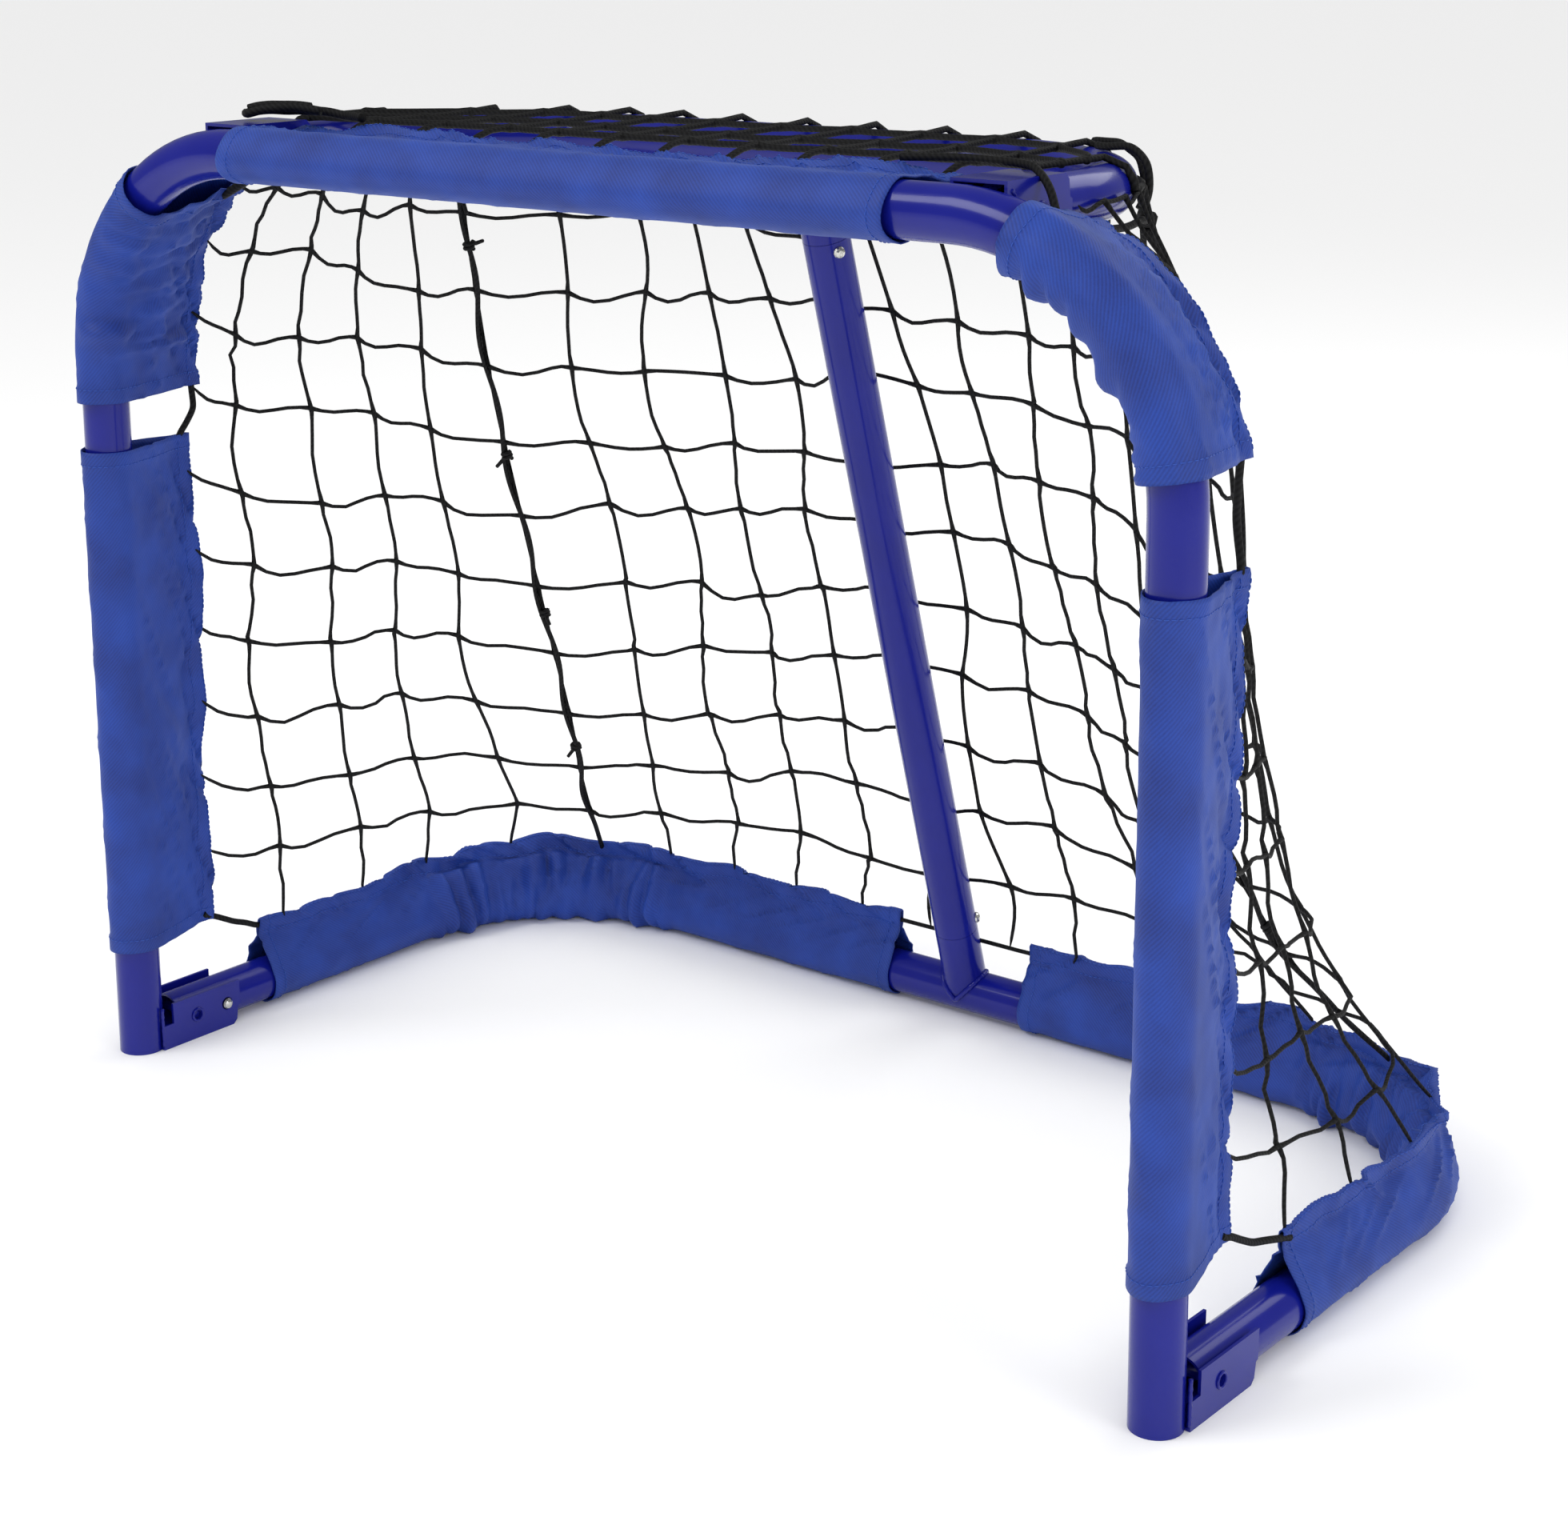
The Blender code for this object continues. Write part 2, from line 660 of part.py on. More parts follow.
def sleeves(base_hinge):
    back = Vector((0, 1, 0))
    up = Vector((0, 0, 1))
    left = front_path()
    right = list(reversed(front_path()))
    posts = (
        ("left", left, LEFT_POST_SLEEVE, LEFT_CORNER_FOOT, LEFT_CORNER_ANGLE),
        ("right", right, RIGHT_POST_SLEEVE, RIGHT_CORNER_FOOT, RIGHT_CORNER_ANGLE),
    )
    bend_z = CROSSBAR_HEIGHT - FRONT_BEND
    for label, path, (low, high), foot, angle in posts:
        start = length_at(path, lambda p, z=low: p.z > z)
        end = length_at(path, lambda p, z=high: p.z > z)
        sleeve(f"post_sleeve_{label}", path, start, end, back, POST_FLAP, taper=0.03)
        start = length_at(path, lambda p, z=foot: p.z > z)
        end = length_at(path, lambda p, a=angle: p.z > bend_z + FRONT_BEND * math.sin(a))
        sleeve(f"corner_sleeve_{label}", path, start, end, back, POST_FLAP)
    start = length_at(left, lambda p: p.x > CROSSBAR_SLEEVE[0])
    end = length_at(left, lambda p: p.x > CROSSBAR_SLEEVE[1])
    rise = TUBE_RADIUS + CLEARANCE - FLAP / 2 - FLAP_WAVE * 0.5
    tilt = math.asin(rise / CROSSBAR_FLAP)
    way = Vector((0, math.cos(tilt), math.sin(tilt)))
    sleeve("crossbar_sleeve", left, start, end, way, CROSSBAR_FLAP)
    around = base_path()
    turned = list(reversed(around))
    for label, path, (mouth, stop), side in (
        ("left", around, BASE_SLEEVE_LEFT, 1),
        ("right", turned, BASE_SLEEVE_RIGHT, -1),
    ):
        start = length_at(path, lambda p, y=mouth: p.y > y)
        end = length_at(path, lambda p, x=stop, s=side: s * p.x > s * x)
        sleeve(f"base_sleeve_{label}", path, start, end, up, BASE_FLAP, skin=BASE_Z, hinge=base_hinge)


# ---------------------------------------------------------------- net
def coons(bottom, top, start, end):
    """A grid of points filled in between four edges. bottom and top run one way, start and end up."""
    across, rows = len(bottom) - 1, len(start) - 1
    grid = []
    for j in range(rows + 1):
        v = j / rows
        row = []
        for i in range(across + 1):
            u = i / across
            ruled = bottom[i].lerp(top[i], v) + start[j].lerp(end[j], u)
            corner = bottom[0].lerp(bottom[-1], u).lerp(top[0].lerp(top[-1], u), v)
            row.append(ruled - corner)
        grid.append(row)
    return grid


def net_panel(name, grid, finish=NET_BLACK, origin=(0, 0, 0), parent=None):
    """A grid of cords with an open gap in every cell, as one solid."""
    bm = bmesh.new()
    verts = [[bm.verts.new(p) for p in row] for row in grid]
    for row, after in zip(verts, verts[1:]):
        for i in range(len(row) - 1):
            bm.faces.new((row[i], row[i + 1], after[i + 1], after[i]))
    bm.normal_update()
    cells = list(bm.faces)
    bmesh.ops.inset_individual(bm, faces=cells, thickness=MESH_BAR / 2, use_even_offset=True)
    bmesh.ops.delete(bm, geom=cells, context="FACES")
    piece = add(name, bm, finish, origin, parent, smooth=False)
    skin = piece.modifiers.new("cord thickness", "SOLIDIFY")
    skin.thickness = CORD
    skin.offset = 0.0
    skin.use_even_offset = False
    return piece


def straight(a, b, count):
    return [a.lerp(b, k / count) for k in range(count + 1)]


def point_at(path, length):
    for a, b in zip(path, path[1:]):
        step = (b - a).length
        if length <= step:
            return a.lerp(b, length / step)
        length -= step
    return path[-1].copy()


def stations(path, start, end, count):
    return [point_at(path, start + (end - start) * k / count) for k in range(count + 1)]


def total_length(path):
    return sum((b - a).length for a, b in zip(path, path[1:]))


def cell_bulge(radius, cells):
    """How far a bend stands out of the straight cords that the net lays across it."""
    cell = total_length(top_path()) / cells
    return radius - math.sqrt(radius**2 - (cell / 2) ** 2)


def net_hems():
    """The curves that the net hangs between: behind the top frame, and on the base's flaps."""
    cells = BACK_CELLS[0] + SIDE_CELLS[0]
    top = top_path(NET_STANDOFF + cell_bulge(TOP_BEND + TUBE_RADIUS, cells))
    base = [p + Vector((0, 0, BASE_FLAP + CORD / 2)) for p in base_path()]
    return top, base


def front_hem(side, low, high):
    """The side net's front edge, up behind the post's flap and in along the bend."""
    rows = SIDE_CELLS[1]
    path = [p + Vector((0, low.y, 0)) for p in front_path()]
    start = length_at(path, lambda p: p.z > low.z)
    end = length_at(path, lambda p: p.x > -abs(high.x))
    points = [Vector((-side * p.x, p.y, p.z)) for p in stations(path, start, end, rows)]
    return [low, *points[1:-1], high]


def corner_seam(path, depth, bend):
    """How far along a U path the middle of its bend is."""
    return length_at(path, lambda p: p.y > depth - bend * (1 - math.sin(math.pi / 4)))


def side_net(label, side, foot, mouth, top, base, top_seam, base_seam):
    """One side, drawn on the left and turned over for the right."""
    across, rows = SIDE_CELLS
    front = POST_FLAP + CORD / 2 + CLEARANCE
    lowest = Vector((-HALF, front, foot))
    past_mouth = between(base, length_at(base, lambda p: p.y > mouth), base_seam)
    hem = [lowest, *past_mouth]
    below = stations(hem, 0.0, total_length(hem), across)
    above = stations(top, length_at(top, lambda p: p.y > front), top_seam, across)
    below, above = ([Vector((-side * p.x, p.y, p.z)) for p in edge] for edge in (below, above))
    edge = front_hem(side, below[0], above[0])
    grid = coons(below, above, edge, straight(below[-1], above[-1], rows))
    net_panel(f"net_{label}", grid)


def border_cord(label, side, foot, mouth):
    """From the post sleeve's hem down to the base sleeve's mouth, under the net's edge."""
    under = CORD / 2 + CLEARANCE + EDGE_CORD_RADIUS
    start = Vector((side * HALF, POST_FLAP - EDGE_CORD_RADIUS, foot - under))
    end = Vector((side * HALF, mouth - CLEARANCE, BASE_Z + BASE_FLAP - under))
    back = Vector((0, 1, 0))
    cord = sweep([start, end], RoundSection(EDGE_CORD_RADIUS, sides=8), (back, back))
    add(f"border_cord_{label}", cord, NET_BLACK)


def edge_cord(label, side, low, high):
    """The border cord that shows between a post's two sleeves."""
    y = POST_FLAP - EDGE_CORD_RADIUS
    lean = POST_TOE_IN / CROSSBAR_HEIGHT
    ends = [
        Vector((side * (HALF - lean * z), y, z)) for z in (low + CLEARANCE * 2, high - CLEARANCE * 2)
    ]
    add(f"edge_cord_{label}", sweep(ends, RoundSection(EDGE_CORD_RADIUS, sides=8)), NET_BLACK)


def back_net(top, base, top_seam, base_seam):
    across, rows = BACK_CELLS
    below = stations(base, base_seam, total_length(base) - base_seam, across)
    above = stations(top, top_seam, total_length(top) - top_seam, across)
    lean = math.atan2(-STRUT_AXIS.y, STRUT_AXIS.z)
    behind_strut = (TUBE_RADIUS + CORD / 2) / math.cos(lean) - BASE_FLAP * math.tan(lean) + CLEARANCE
    for point in below:
        point.y += behind_strut
    grid = coons(
        below,
        above,
        straight(below[0], above[0], rows),
        straight(below[-1], above[-1], rows),
    )
    for j, row in enumerate(grid):
        for i, point in enumerate(row):
            u, v = i / across, j / rows
            point.y += NET_BELLY * 16 * u * (1 - u) * v * (1 - v)
    net_panel("net_back", grid)


def top_net(hinge):
    """Over the top frame, from the crossbar sleeve's hem back to the rear tube."""
    across, rows = TOP_CELLS
    z = TOP_Z + CHANNEL_HALF + SHEET + CLEARANCE + CORD / 2
    front = CROSSBAR_FLAP + CLEARANCE
    back = TOP_DEPTH + TUBE_RADIUS / 2
    grid = []
    for j in range(rows + 1):
        y = front + (back - front) * j / rows
        into_bend = max(0.0, y - (TOP_DEPTH - TOP_BEND))
        reach = TOP_BEND + TUBE_RADIUS / 2
        half = TOP_HALF - TOP_BEND + math.sqrt(max(reach**2 - into_bend**2, 0.0))
        grid.append([Vector((half * (2 * i / across - 1), y, z)) for i in range(across + 1)])
    net_panel("net_top", grid, NET_BLACK, hinge.location, hinge)


def nets(top_hinge):
    top, base = net_hems()
    hang = 2 * CLEARANCE + SEAM_CORD_RADIUS
    top_out = -top[0].x - TOP_HALF
    top_seam = corner_seam(top, TOP_DEPTH + top_out, TOP_BEND + top_out)
    base_seam = corner_seam(base, BASE_DEPTH, BASE_BEND)
    sides = (
        ("left", -1, LEFT_POST_SLEEVE, LEFT_CORNER_FOOT, BASE_SLEEVE_LEFT[0]),
        ("right", 1, RIGHT_POST_SLEEVE, RIGHT_CORNER_FOOT, BASE_SLEEVE_RIGHT[0]),
    )
    for label, side, (foot, low), high, mouth in sides:
        side_net(label, side, foot, mouth, top, base, top_seam - hang, base_seam - hang)
        border_cord(label, side, foot, mouth)
        edge_cord(label, side, low, high)
        seam = [point_at(edge, at) for edge, at in ((base, base_seam), (top, top_seam))]
        seam = [Vector((-side * p.x, p.y, p.z)) for p in seam]
        seam_cord = sweep(seam, RoundSection(SEAM_CORD_RADIUS, sides=8))
        add(f"seam_cord_{label}", seam_cord, NET_BLACK)
    back_net(top, base, top_seam + hang, base_seam + hang)
    top_net(top_hinge)


def centre_on_origin():
    for thing in bpy.context.scene.objects:
        if not thing.parent:
            thing.location.y -= CENTRE


def build():
    clear_scene()
    base_hinge = empty("base_hinge", (0, PIVOT_BEHIND_POST, BASE_Z))
    top_hinge = empty("top_hinge", (0, PIVOT_BEHIND_POST, TOP_Z))
    tube_frames(base_hinge, top_hinge)
    brackets()
    pivot_pins()
    snap_buttons(base_hinge, top_hinge)
    strut_parts(base_hinge, top_hinge)
    sleeves(base_hinge)
    nets(top_hinge)
    centre_on_origin()


build()
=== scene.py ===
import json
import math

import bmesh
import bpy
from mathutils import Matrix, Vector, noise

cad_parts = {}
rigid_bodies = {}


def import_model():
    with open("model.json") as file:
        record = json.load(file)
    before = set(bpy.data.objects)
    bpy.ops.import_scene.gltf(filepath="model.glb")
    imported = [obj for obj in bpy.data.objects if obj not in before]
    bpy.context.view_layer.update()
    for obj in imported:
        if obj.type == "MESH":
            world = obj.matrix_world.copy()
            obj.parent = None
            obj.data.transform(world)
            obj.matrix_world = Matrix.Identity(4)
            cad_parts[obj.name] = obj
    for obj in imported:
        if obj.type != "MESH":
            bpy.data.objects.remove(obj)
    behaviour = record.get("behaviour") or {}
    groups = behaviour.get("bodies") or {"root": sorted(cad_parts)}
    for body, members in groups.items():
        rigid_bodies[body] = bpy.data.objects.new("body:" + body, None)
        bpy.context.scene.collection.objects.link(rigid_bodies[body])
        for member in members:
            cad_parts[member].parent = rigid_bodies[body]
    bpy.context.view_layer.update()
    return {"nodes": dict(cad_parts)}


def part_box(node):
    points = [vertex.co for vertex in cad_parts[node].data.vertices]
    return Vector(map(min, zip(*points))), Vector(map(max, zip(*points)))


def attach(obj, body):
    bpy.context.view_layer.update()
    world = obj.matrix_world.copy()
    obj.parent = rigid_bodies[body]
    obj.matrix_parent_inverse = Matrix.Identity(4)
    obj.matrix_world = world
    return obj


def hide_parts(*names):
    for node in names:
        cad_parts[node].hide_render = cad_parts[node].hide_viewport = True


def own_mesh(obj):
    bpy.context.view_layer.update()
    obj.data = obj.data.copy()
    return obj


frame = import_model()

# %% [markdown]
# # A folding street-hockey goal
# The goal is bent steel tube in gloss enamel, dressed with sewn twill sleeves that hold a net of
# braided cord. The load step has put the plain construction model in the scene. Each cell below
# gives one part of it the shape and finish that a buyer would see.
#
# Sizes are taken from the construction model where it has them. X runs across the mouth, Y runs to
# the rear and Z runs up.

MM = 0.001
front_low, front_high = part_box("front_frame")
base_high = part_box("base_frame")[1]
top_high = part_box("top_frame")[1]

TUBE_R = (front_high.y - front_low.y) / 2
TUBE_WALL = 1.5 * MM
POST_Y = (front_low.y + front_high.y) / 2
HALF = front_high.x - TUBE_R  # half the posts' distance at the floor
LEAN = HALF - 8 * MM  # and at the crossbar, because the posts lean in
CROSSBAR_Z = 658 * MM
BASE_Y = base_high.y - TUBE_R
BASE_Z = 18.3 * MM
TOP_Y = top_high.y - TUBE_R
TOP_HALF = top_high.x - TUBE_R
ARM_FRONT = POST_Y + 24 * MM  # where the folding frames' arms start
FOLD_Y = POST_Y + 38.5 * MM  # the pins that they turn on
FRONT_BEND = 144 * MM
BASE_BEND = 140 * MM
TOP_BEND = 152 * MM
print("posts", round(HALF * 2, 4), "apart, crossbar at", CROSSBAR_Z, "tube", round(TUBE_R * 2, 4))

# %% [markdown]
# ## Camera, floor and light
# The camera stands where the photograph was taken: in front of the mouth, to the right and a
# little above the crossbar. Its place and lens were fitted to the edges of the tubes. The optical
# axis misses the middle of the picture, and the camera's shift takes up the difference.

# %% Camera
IMAGE = (1960, 1901)
FOCAL_PX = 3652.1
PRINCIPAL_PX = (922.6, 852.7)
SENSOR = 36.0
YAW = math.radians(39.52)
DOWN = math.radians(15.51)
ROLL = math.radians(-0.34)
CAMERA_AT = (1.18023, POST_Y - 1.26482, 0.83206)

bpy.ops.object.select_all(action="DESELECT")
bpy.ops.object.camera_add(location=CAMERA_AT)
camera = bpy.context.object
aim = Matrix.Rotation(YAW, 3, "Z") @ Matrix.Rotation(math.pi / 2 - DOWN, 3, "X")
camera.rotation_euler = (aim @ Matrix.Rotation(ROLL, 3, "Z")).to_euler()
camera.data.sensor_width = SENSOR
camera.data.sensor_fit = "HORIZONTAL"
camera.data.lens = FOCAL_PX * SENSOR / IMAGE[0]
camera.data.shift_x = (IMAGE[0] / 2 - PRINCIPAL_PX[0]) / IMAGE[0]
camera.data.shift_y = (PRINCIPAL_PX[1] - IMAGE[1] / 2) / IMAGE[0]
camera.data.clip_end = 50
bpy.context.scene.camera = camera
bpy.context.scene.view_settings.view_transform = "Standard"
print("lens", round(camera.data.lens, 2), "mm")

# %% [markdown]
# Every material starts from a colour, a roughness and an index of refraction, and then gets its
# pattern from a few nodes. Small helpers for noise, tint and bump keep that short.


# %% Helpers for colours, nodes and materials
def linear(hex_colour):
    """A colour written as sRGB hex, turned to linear light."""
    channels = [int(hex_colour[k : k + 2], 16) / 255 for k in (1, 3, 5)]
    return (*[c / 12.92 if c <= 0.04045 else ((c + 0.055) / 1.055) ** 2.4 for c in channels], 1.0)


def add_node(tree, kind, settings=None, links=None):
    """One node, with its settings (attributes, or values of sockets) and what feeds its sockets."""
    made = tree.nodes.new(kind)
    for key, value in (settings or {}).items():
        if isinstance(key, str) and hasattr(made, key):
            setattr(made, key, value)
        else:
            made.inputs[key].default_value = value
    for key, source in (links or {}).items():
        tree.links.new(source, made.inputs[key])
    return made


def principled(name, colour, roughness, metallic=0.0, ior=1.5):
    made = bpy.data.materials.new(name)
    made.use_nodes = True
    made.diffuse_color = linear(colour)
    shader = made.node_tree.nodes["Principled BSDF"]
    shader.inputs["Base Color"].default_value = linear(colour)
    shader.inputs["Roughness"].default_value = roughness
    shader.inputs["Metallic"].default_value = metallic
    shader.inputs["IOR"].default_value = ior
    return made, made.node_tree, shader


def speckle(tree, size, detail, where):
    """Noise whose spots are about that size."""
    spots = add_node(tree, "ShaderNodeTexNoise", {"Scale": 1 / size, "Detail": detail}, {"Vector": where})
    return spots.outputs[0]


def tinted(tree, shader, dark, light, amount):
    ends = {"data_type": "RGBA", 6: linear(dark), 7: linear(light)}
    blend = add_node(tree, "ShaderNodeMix", ends, {0: amount})
    tree.links.new(blend.outputs[2], shader.inputs["Base Color"])


def raised(tree, shader, strength, height, amount):
    bump = add_node(tree, "ShaderNodeBump", {"Strength": strength, "Distance": height}, {"Height": amount})
    tree.links.new(bump.outputs[0], shader.inputs["Normal"])


print("black and white in linear light", linear("#000000")[0], linear("#FFFFFF")[0])

# %% [markdown]
# A photographer would stand the goal on white paper in a white tent. The world is that tent, a
# little under full strength, so that the blues keep their value. Gloss sees a much weaker one,
# because a bright tent would turn the enamel grey. The camera sees plain white. Three soft square
# lamps add direction: from the front left, the right and the back.

# %% World and lamps
SKY = 0.93
SKY_IN_GLOSS = 0.25
world = bpy.data.worlds.new("studio")
bpy.context.scene.world = world
world.use_nodes = True
sky = world.node_tree
sky.nodes.clear()
rays = add_node(sky, "ShaderNodeLightPath")
mirrored = add_node(sky, "ShaderNodeMath", {"operation": "MULTIPLY_ADD", 1: SKY_IN_GLOSS - SKY, 2: SKY},
                    {0: rays.outputs["Is Glossy Ray"]})
strength = add_node(sky, "ShaderNodeMath", {"operation": "MAXIMUM"},
                    {0: mirrored.outputs[0], 1: rays.outputs["Is Camera Ray"]})
glow = add_node(sky, "ShaderNodeBackground", {"Color": linear("#FFFFFF")}, {"Strength": strength.outputs[0]})
add_node(sky, "ShaderNodeOutputWorld", None, {"Surface": glow.outputs[0]})

LAMPS = {  # place, side of the square in metres, watts
    "key": ((-1.2, -2.0, 3.0), 1.5, 38),
    "side": ((3.0, -0.4, 1.4), 1.2, 18),
    "back": ((0.4, 2.6, 2.6), 1.8, 20),
}
LAMPS_AIM = Vector((0, 0, 0.3))
for name, (stand, size, watts) in LAMPS.items():
    bpy.ops.object.light_add(type="AREA", location=stand)
    lamp = bpy.context.object
    lamp.name = f"lamp_{name}"
    lamp.data.shape = "SQUARE"
    lamp.data.size = size
    lamp.data.energy = watts
    lamp.rotation_euler = (LAMPS_AIM - Vector(stand)).to_track_quat("-Z", "Y").to_euler()
print("lamps", len(LAMPS))

# %% Floor
bpy.ops.mesh.primitive_plane_add(size=60, location=(0, 0, 0))
floor = bpy.context.object
floor.name = "floor"
floor.data.materials.append(principled("white_paper", "#FCFCFC", 0.9)[0])
print("floor", floor.dimensions.x, "m wide")

# %% [markdown]
# ## Finishes
# The tubes are sprayed with gloss enamel and baked. That gives the eye a deep blue with hard, clear
# highlights, and a faint orange peel that breaks up each highlight's edge. The peel is a bump of
# about 2 mm. A slow drift of tint and roughness stands for handling.

# %% Enamel
PEEL = 2.2 * MM
ENAMEL_DRIFT = 50 * MM
enamel, tree, shader = principled("gloss_enamel", "#0F167D", 0.20, ior=1.52)
shader.inputs["Coat Weight"].default_value = 0.2
shader.inputs["Specular IOR Level"].default_value = 0.24
shader.inputs["Coat Roughness"].default_value = 0.06
where = add_node(tree, "ShaderNodeTexCoord").outputs["Object"]
raised(tree, shader, 0.16, 0.1 * MM, speckle(tree, PEEL, 1.5, where))
drift = speckle(tree, ENAMEL_DRIFT, 3.0, where)
tinted(tree, shader, "#0C1272", "#121A88", drift)
handled = add_node(tree, "ShaderNodeMapRange", {"To Min": 0.16, "To Max": 0.30}, {"Value": drift})
tree.links.new(handled.outputs[0], shader.inputs["Roughness"])
print(enamel.name, "peel", PEEL)

# %% [markdown]
# Polyester twill is woven so that its ribs run on the diagonal. It gives the eye a softer, lighter
# blue than the enamel, with a sheen where it turns away and fine slanting lines close up. The real
# ribs are about 0.6 mm apart. They are drawn 1.8 mm apart, so that they show. They follow the
# cloth through its UV map, which is laid out in metres. The ribs' crests are painted lighter and
# their grooves darker, which is painted shade. Threads also darken and lighten at random, and a
# slow pattern of wear lies over them.

# %% Polyester twill
RIB = 1.8 * MM
WAVE_REPEAT = 0.314  # a wave texture repeats at this length divided by its scale
YARN = 1 / 900
WORN = 1 / 26
blue_twill, tree, shader = principled("blue_twill", "#0A226C", 0.62, ior=1.47)
shader.inputs["Sheen Weight"].default_value = 0.16
shader.inputs["Sheen Roughness"].default_value = 0.4
shader.inputs["Sheen Tint"].default_value = linear("#6C96F0")
cloth = add_node(tree, "ShaderNodeTexCoord").outputs["UV"]
lay = add_node(tree, "ShaderNodeMapping", {"Rotation": (0, 0, math.radians(52))}, {"Vector": cloth})
ribs = add_node(tree, "ShaderNodeTexWave", {"Scale": WAVE_REPEAT / RIB, "Distortion": 0.6, "Detail": 1.0},
                {"Vector": lay.outputs[0]})
weave = add_node(tree, "ShaderNodeMath", {"operation": "MULTIPLY_ADD", 1: 0.9},
                 {0: speckle(tree, YARN, 1.0, cloth), 2: ribs.outputs[1]}).outputs[0]
mixed = add_node(tree, "ShaderNodeMath", {"operation": "MULTIPLY_ADD", 1: 0.30},
                 {0: weave, 2: speckle(tree, WORN, 3.0, cloth)})
span = add_node(tree, "ShaderNodeMapRange", {"From Min": 0.35, "From Max": 1.15}, {"Value": mixed.outputs[0]})
# Painted shade: the colour follows the ribs' height, lighter on the crests and darker in the grooves, over
# random thread tone and wear.
tinted(tree, shader, "#0A226C", "#1842A4", span.outputs[0])
raised(tree, shader, 0.28, 0.2 * MM, weave)

# Spun polyester thread is a little lighter than the cloth, so a seam shows as a row of small dashes.
thread_blue, *_ = principled("sewing_thread", "#1F49A8", 0.5)
print(blue_twill.name, "ribs", RIB)

# %% [markdown]
# The net's cord is braided polyester, dyed black. It gives the eye a matt near-black with slanting
# strands. Each strand's top is painted a little lighter and each groove darker, which is painted
# highlight and shade. Strands are drawn about 3 mm apart, coarser than real ones, so that they show
# on the ropes.

# %% Braided cord
BRAID = 3.2 * MM
braid, tree, shader = principled("braided_polyester", "#0A0A0B", 0.7)
shader.inputs["Specular IOR Level"].default_value = 0.25
along = add_node(tree, "ShaderNodeTexCoord").outputs["UV"]
lay = add_node(tree, "ShaderNodeMapping", {"Rotation": (0, 0, math.radians(38))}, {"Vector": along})
strands = add_node(tree, "ShaderNodeTexWave", {"Scale": 1 / BRAID / 3, "Distortion": 0.5},
                   {"Vector": lay.outputs[0]}).outputs[1]
raised(tree, shader, 0.5, 0.4 * MM, strands)
# Painted highlight and shade: the strands' height also sets their colour, lighter on top of each strand.
tinted(tree, shader, "#050505", "#151516", strands)
print(braid.name, "strands", BRAID)

# %% [markdown]
# The snap buttons are zinc plated: bright, slightly yellow, with small spangles. The spring strips
# and spigots are bare spring steel: darker, greyer and less polished.


# %% Plated and bare steel, and the finish of every node of the construction model
def metal(name, dark, light, roughness, grain):
    made, tree, shader = principled(name, light, roughness, 1.0)
    where = add_node(tree, "ShaderNodeTexCoord").outputs["Object"]
    tinted(tree, shader, dark, light, speckle(tree, grain, 4.0, where))
    return made


zinc = metal("zinc_plate", "#B8B8B2", "#E4E4DE", 0.24, 2.0 * MM)
spring = metal("spring_steel", "#7A7A78", "#A6A6A4", 0.34, 1.5 * MM)

for name, node in frame["nodes"].items():
    if "snap_button" in name:
        finish = zinc
    elif "spring" in name or "spigot" in name:
        finish = spring
    elif any(word in name for word in ("frame", "bracket", "strut", "stub", "pin")):
        finish = enamel
    elif "sleeve" in name:
        finish = blue_twill
    else:
        finish = braid
    node.data.materials.clear()
    node.data.materials.append(finish)
print("materials on", len(frame["nodes"]), "nodes")

# %% [markdown]
# ## Bent tube
# A tube bender pulls one straight tube round a die. The same is done here: a circle is drawn at
# the tube's end, extruded along each straight run and spun round each bend's centre. A curve with
# a round bevel would be quicker, but it would pinch the tube a little inside each bend. The wall
# is added last with Solidify, so that an open end shows its thickness.


# %% A tube that is run and bent in edit mode
TUBE_SIDES = 48
BEND_STEPS = 24
SMOOTH_UNDER = 40


def finish_mesh(name, finish, body, *nodes, angle=SMOOTH_UNDER):
    """Names the active object, gives it its finish and lets it ride on a body."""
    piece = bpy.context.object
    piece.name = name
    piece.data.name = name
    piece.data.materials.append(finish)
    bpy.ops.object.transform_apply(location=True, rotation=True, scale=True)
    if angle:
        bpy.ops.object.shade_smooth_by_angle(angle=math.radians(angle))
    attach(piece, body)
    if nodes:
        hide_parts(*nodes)
    return piece


def bent_tube(name, corners, bend, body, *nodes):
    corners = [Vector(c) for c in corners]
    facing = (corners[1] - corners[0]).to_track_quat("Z", "Y").to_euler()
    bpy.ops.object.select_all(action="DESELECT")
    bpy.ops.mesh.primitive_circle_add(vertices=TUBE_SIDES, radius=TUBE_R, location=corners[0],
                                      rotation=facing)
    bpy.ops.object.transform_apply(location=True, rotation=True)
    bpy.ops.object.mode_set(mode="EDIT")
    bpy.ops.mesh.select_all(action="SELECT")
    at = corners[0]
    for corner, after in zip(corners[1:], corners[2:]):
        back = (at - corner).normalized()
        on = (after - corner).normalized()
        half = back.angle(on) / 2
        start = corner + back * bend / math.tan(half)
        centre = corner + (back + on).normalized() * bend / math.sin(half)
        axis = back.cross(start - centre).normalized()
        bpy.ops.mesh.extrude_region_move(TRANSFORM_OT_translate={"value": start - at})
        bpy.ops.mesh.spin(steps=BEND_STEPS, angle=-(math.pi - 2 * half), center=centre, axis=axis)
        at = corner + on * bend / math.tan(half)
    bpy.ops.mesh.extrude_region_move(TRANSFORM_OT_translate={"value": corners[-1] - at})
    bpy.ops.mesh.select_all(action="SELECT")
    bpy.ops.mesh.remove_doubles(threshold=0.01 * MM)
    bpy.ops.mesh.normals_make_consistent(inside=False)
    bpy.ops.object.mode_set(mode="OBJECT")
    skin = bpy.context.object.modifiers.new("wall", "SOLIDIFY")
    skin.thickness = TUBE_WALL
    skin.offset = -1
    bpy.ops.object.modifier_apply(modifier=skin.name)
    made = finish_mesh(name, enamel, body, *nodes)
    print(name, [round(v, 3) for v in made.dimensions])
    return made


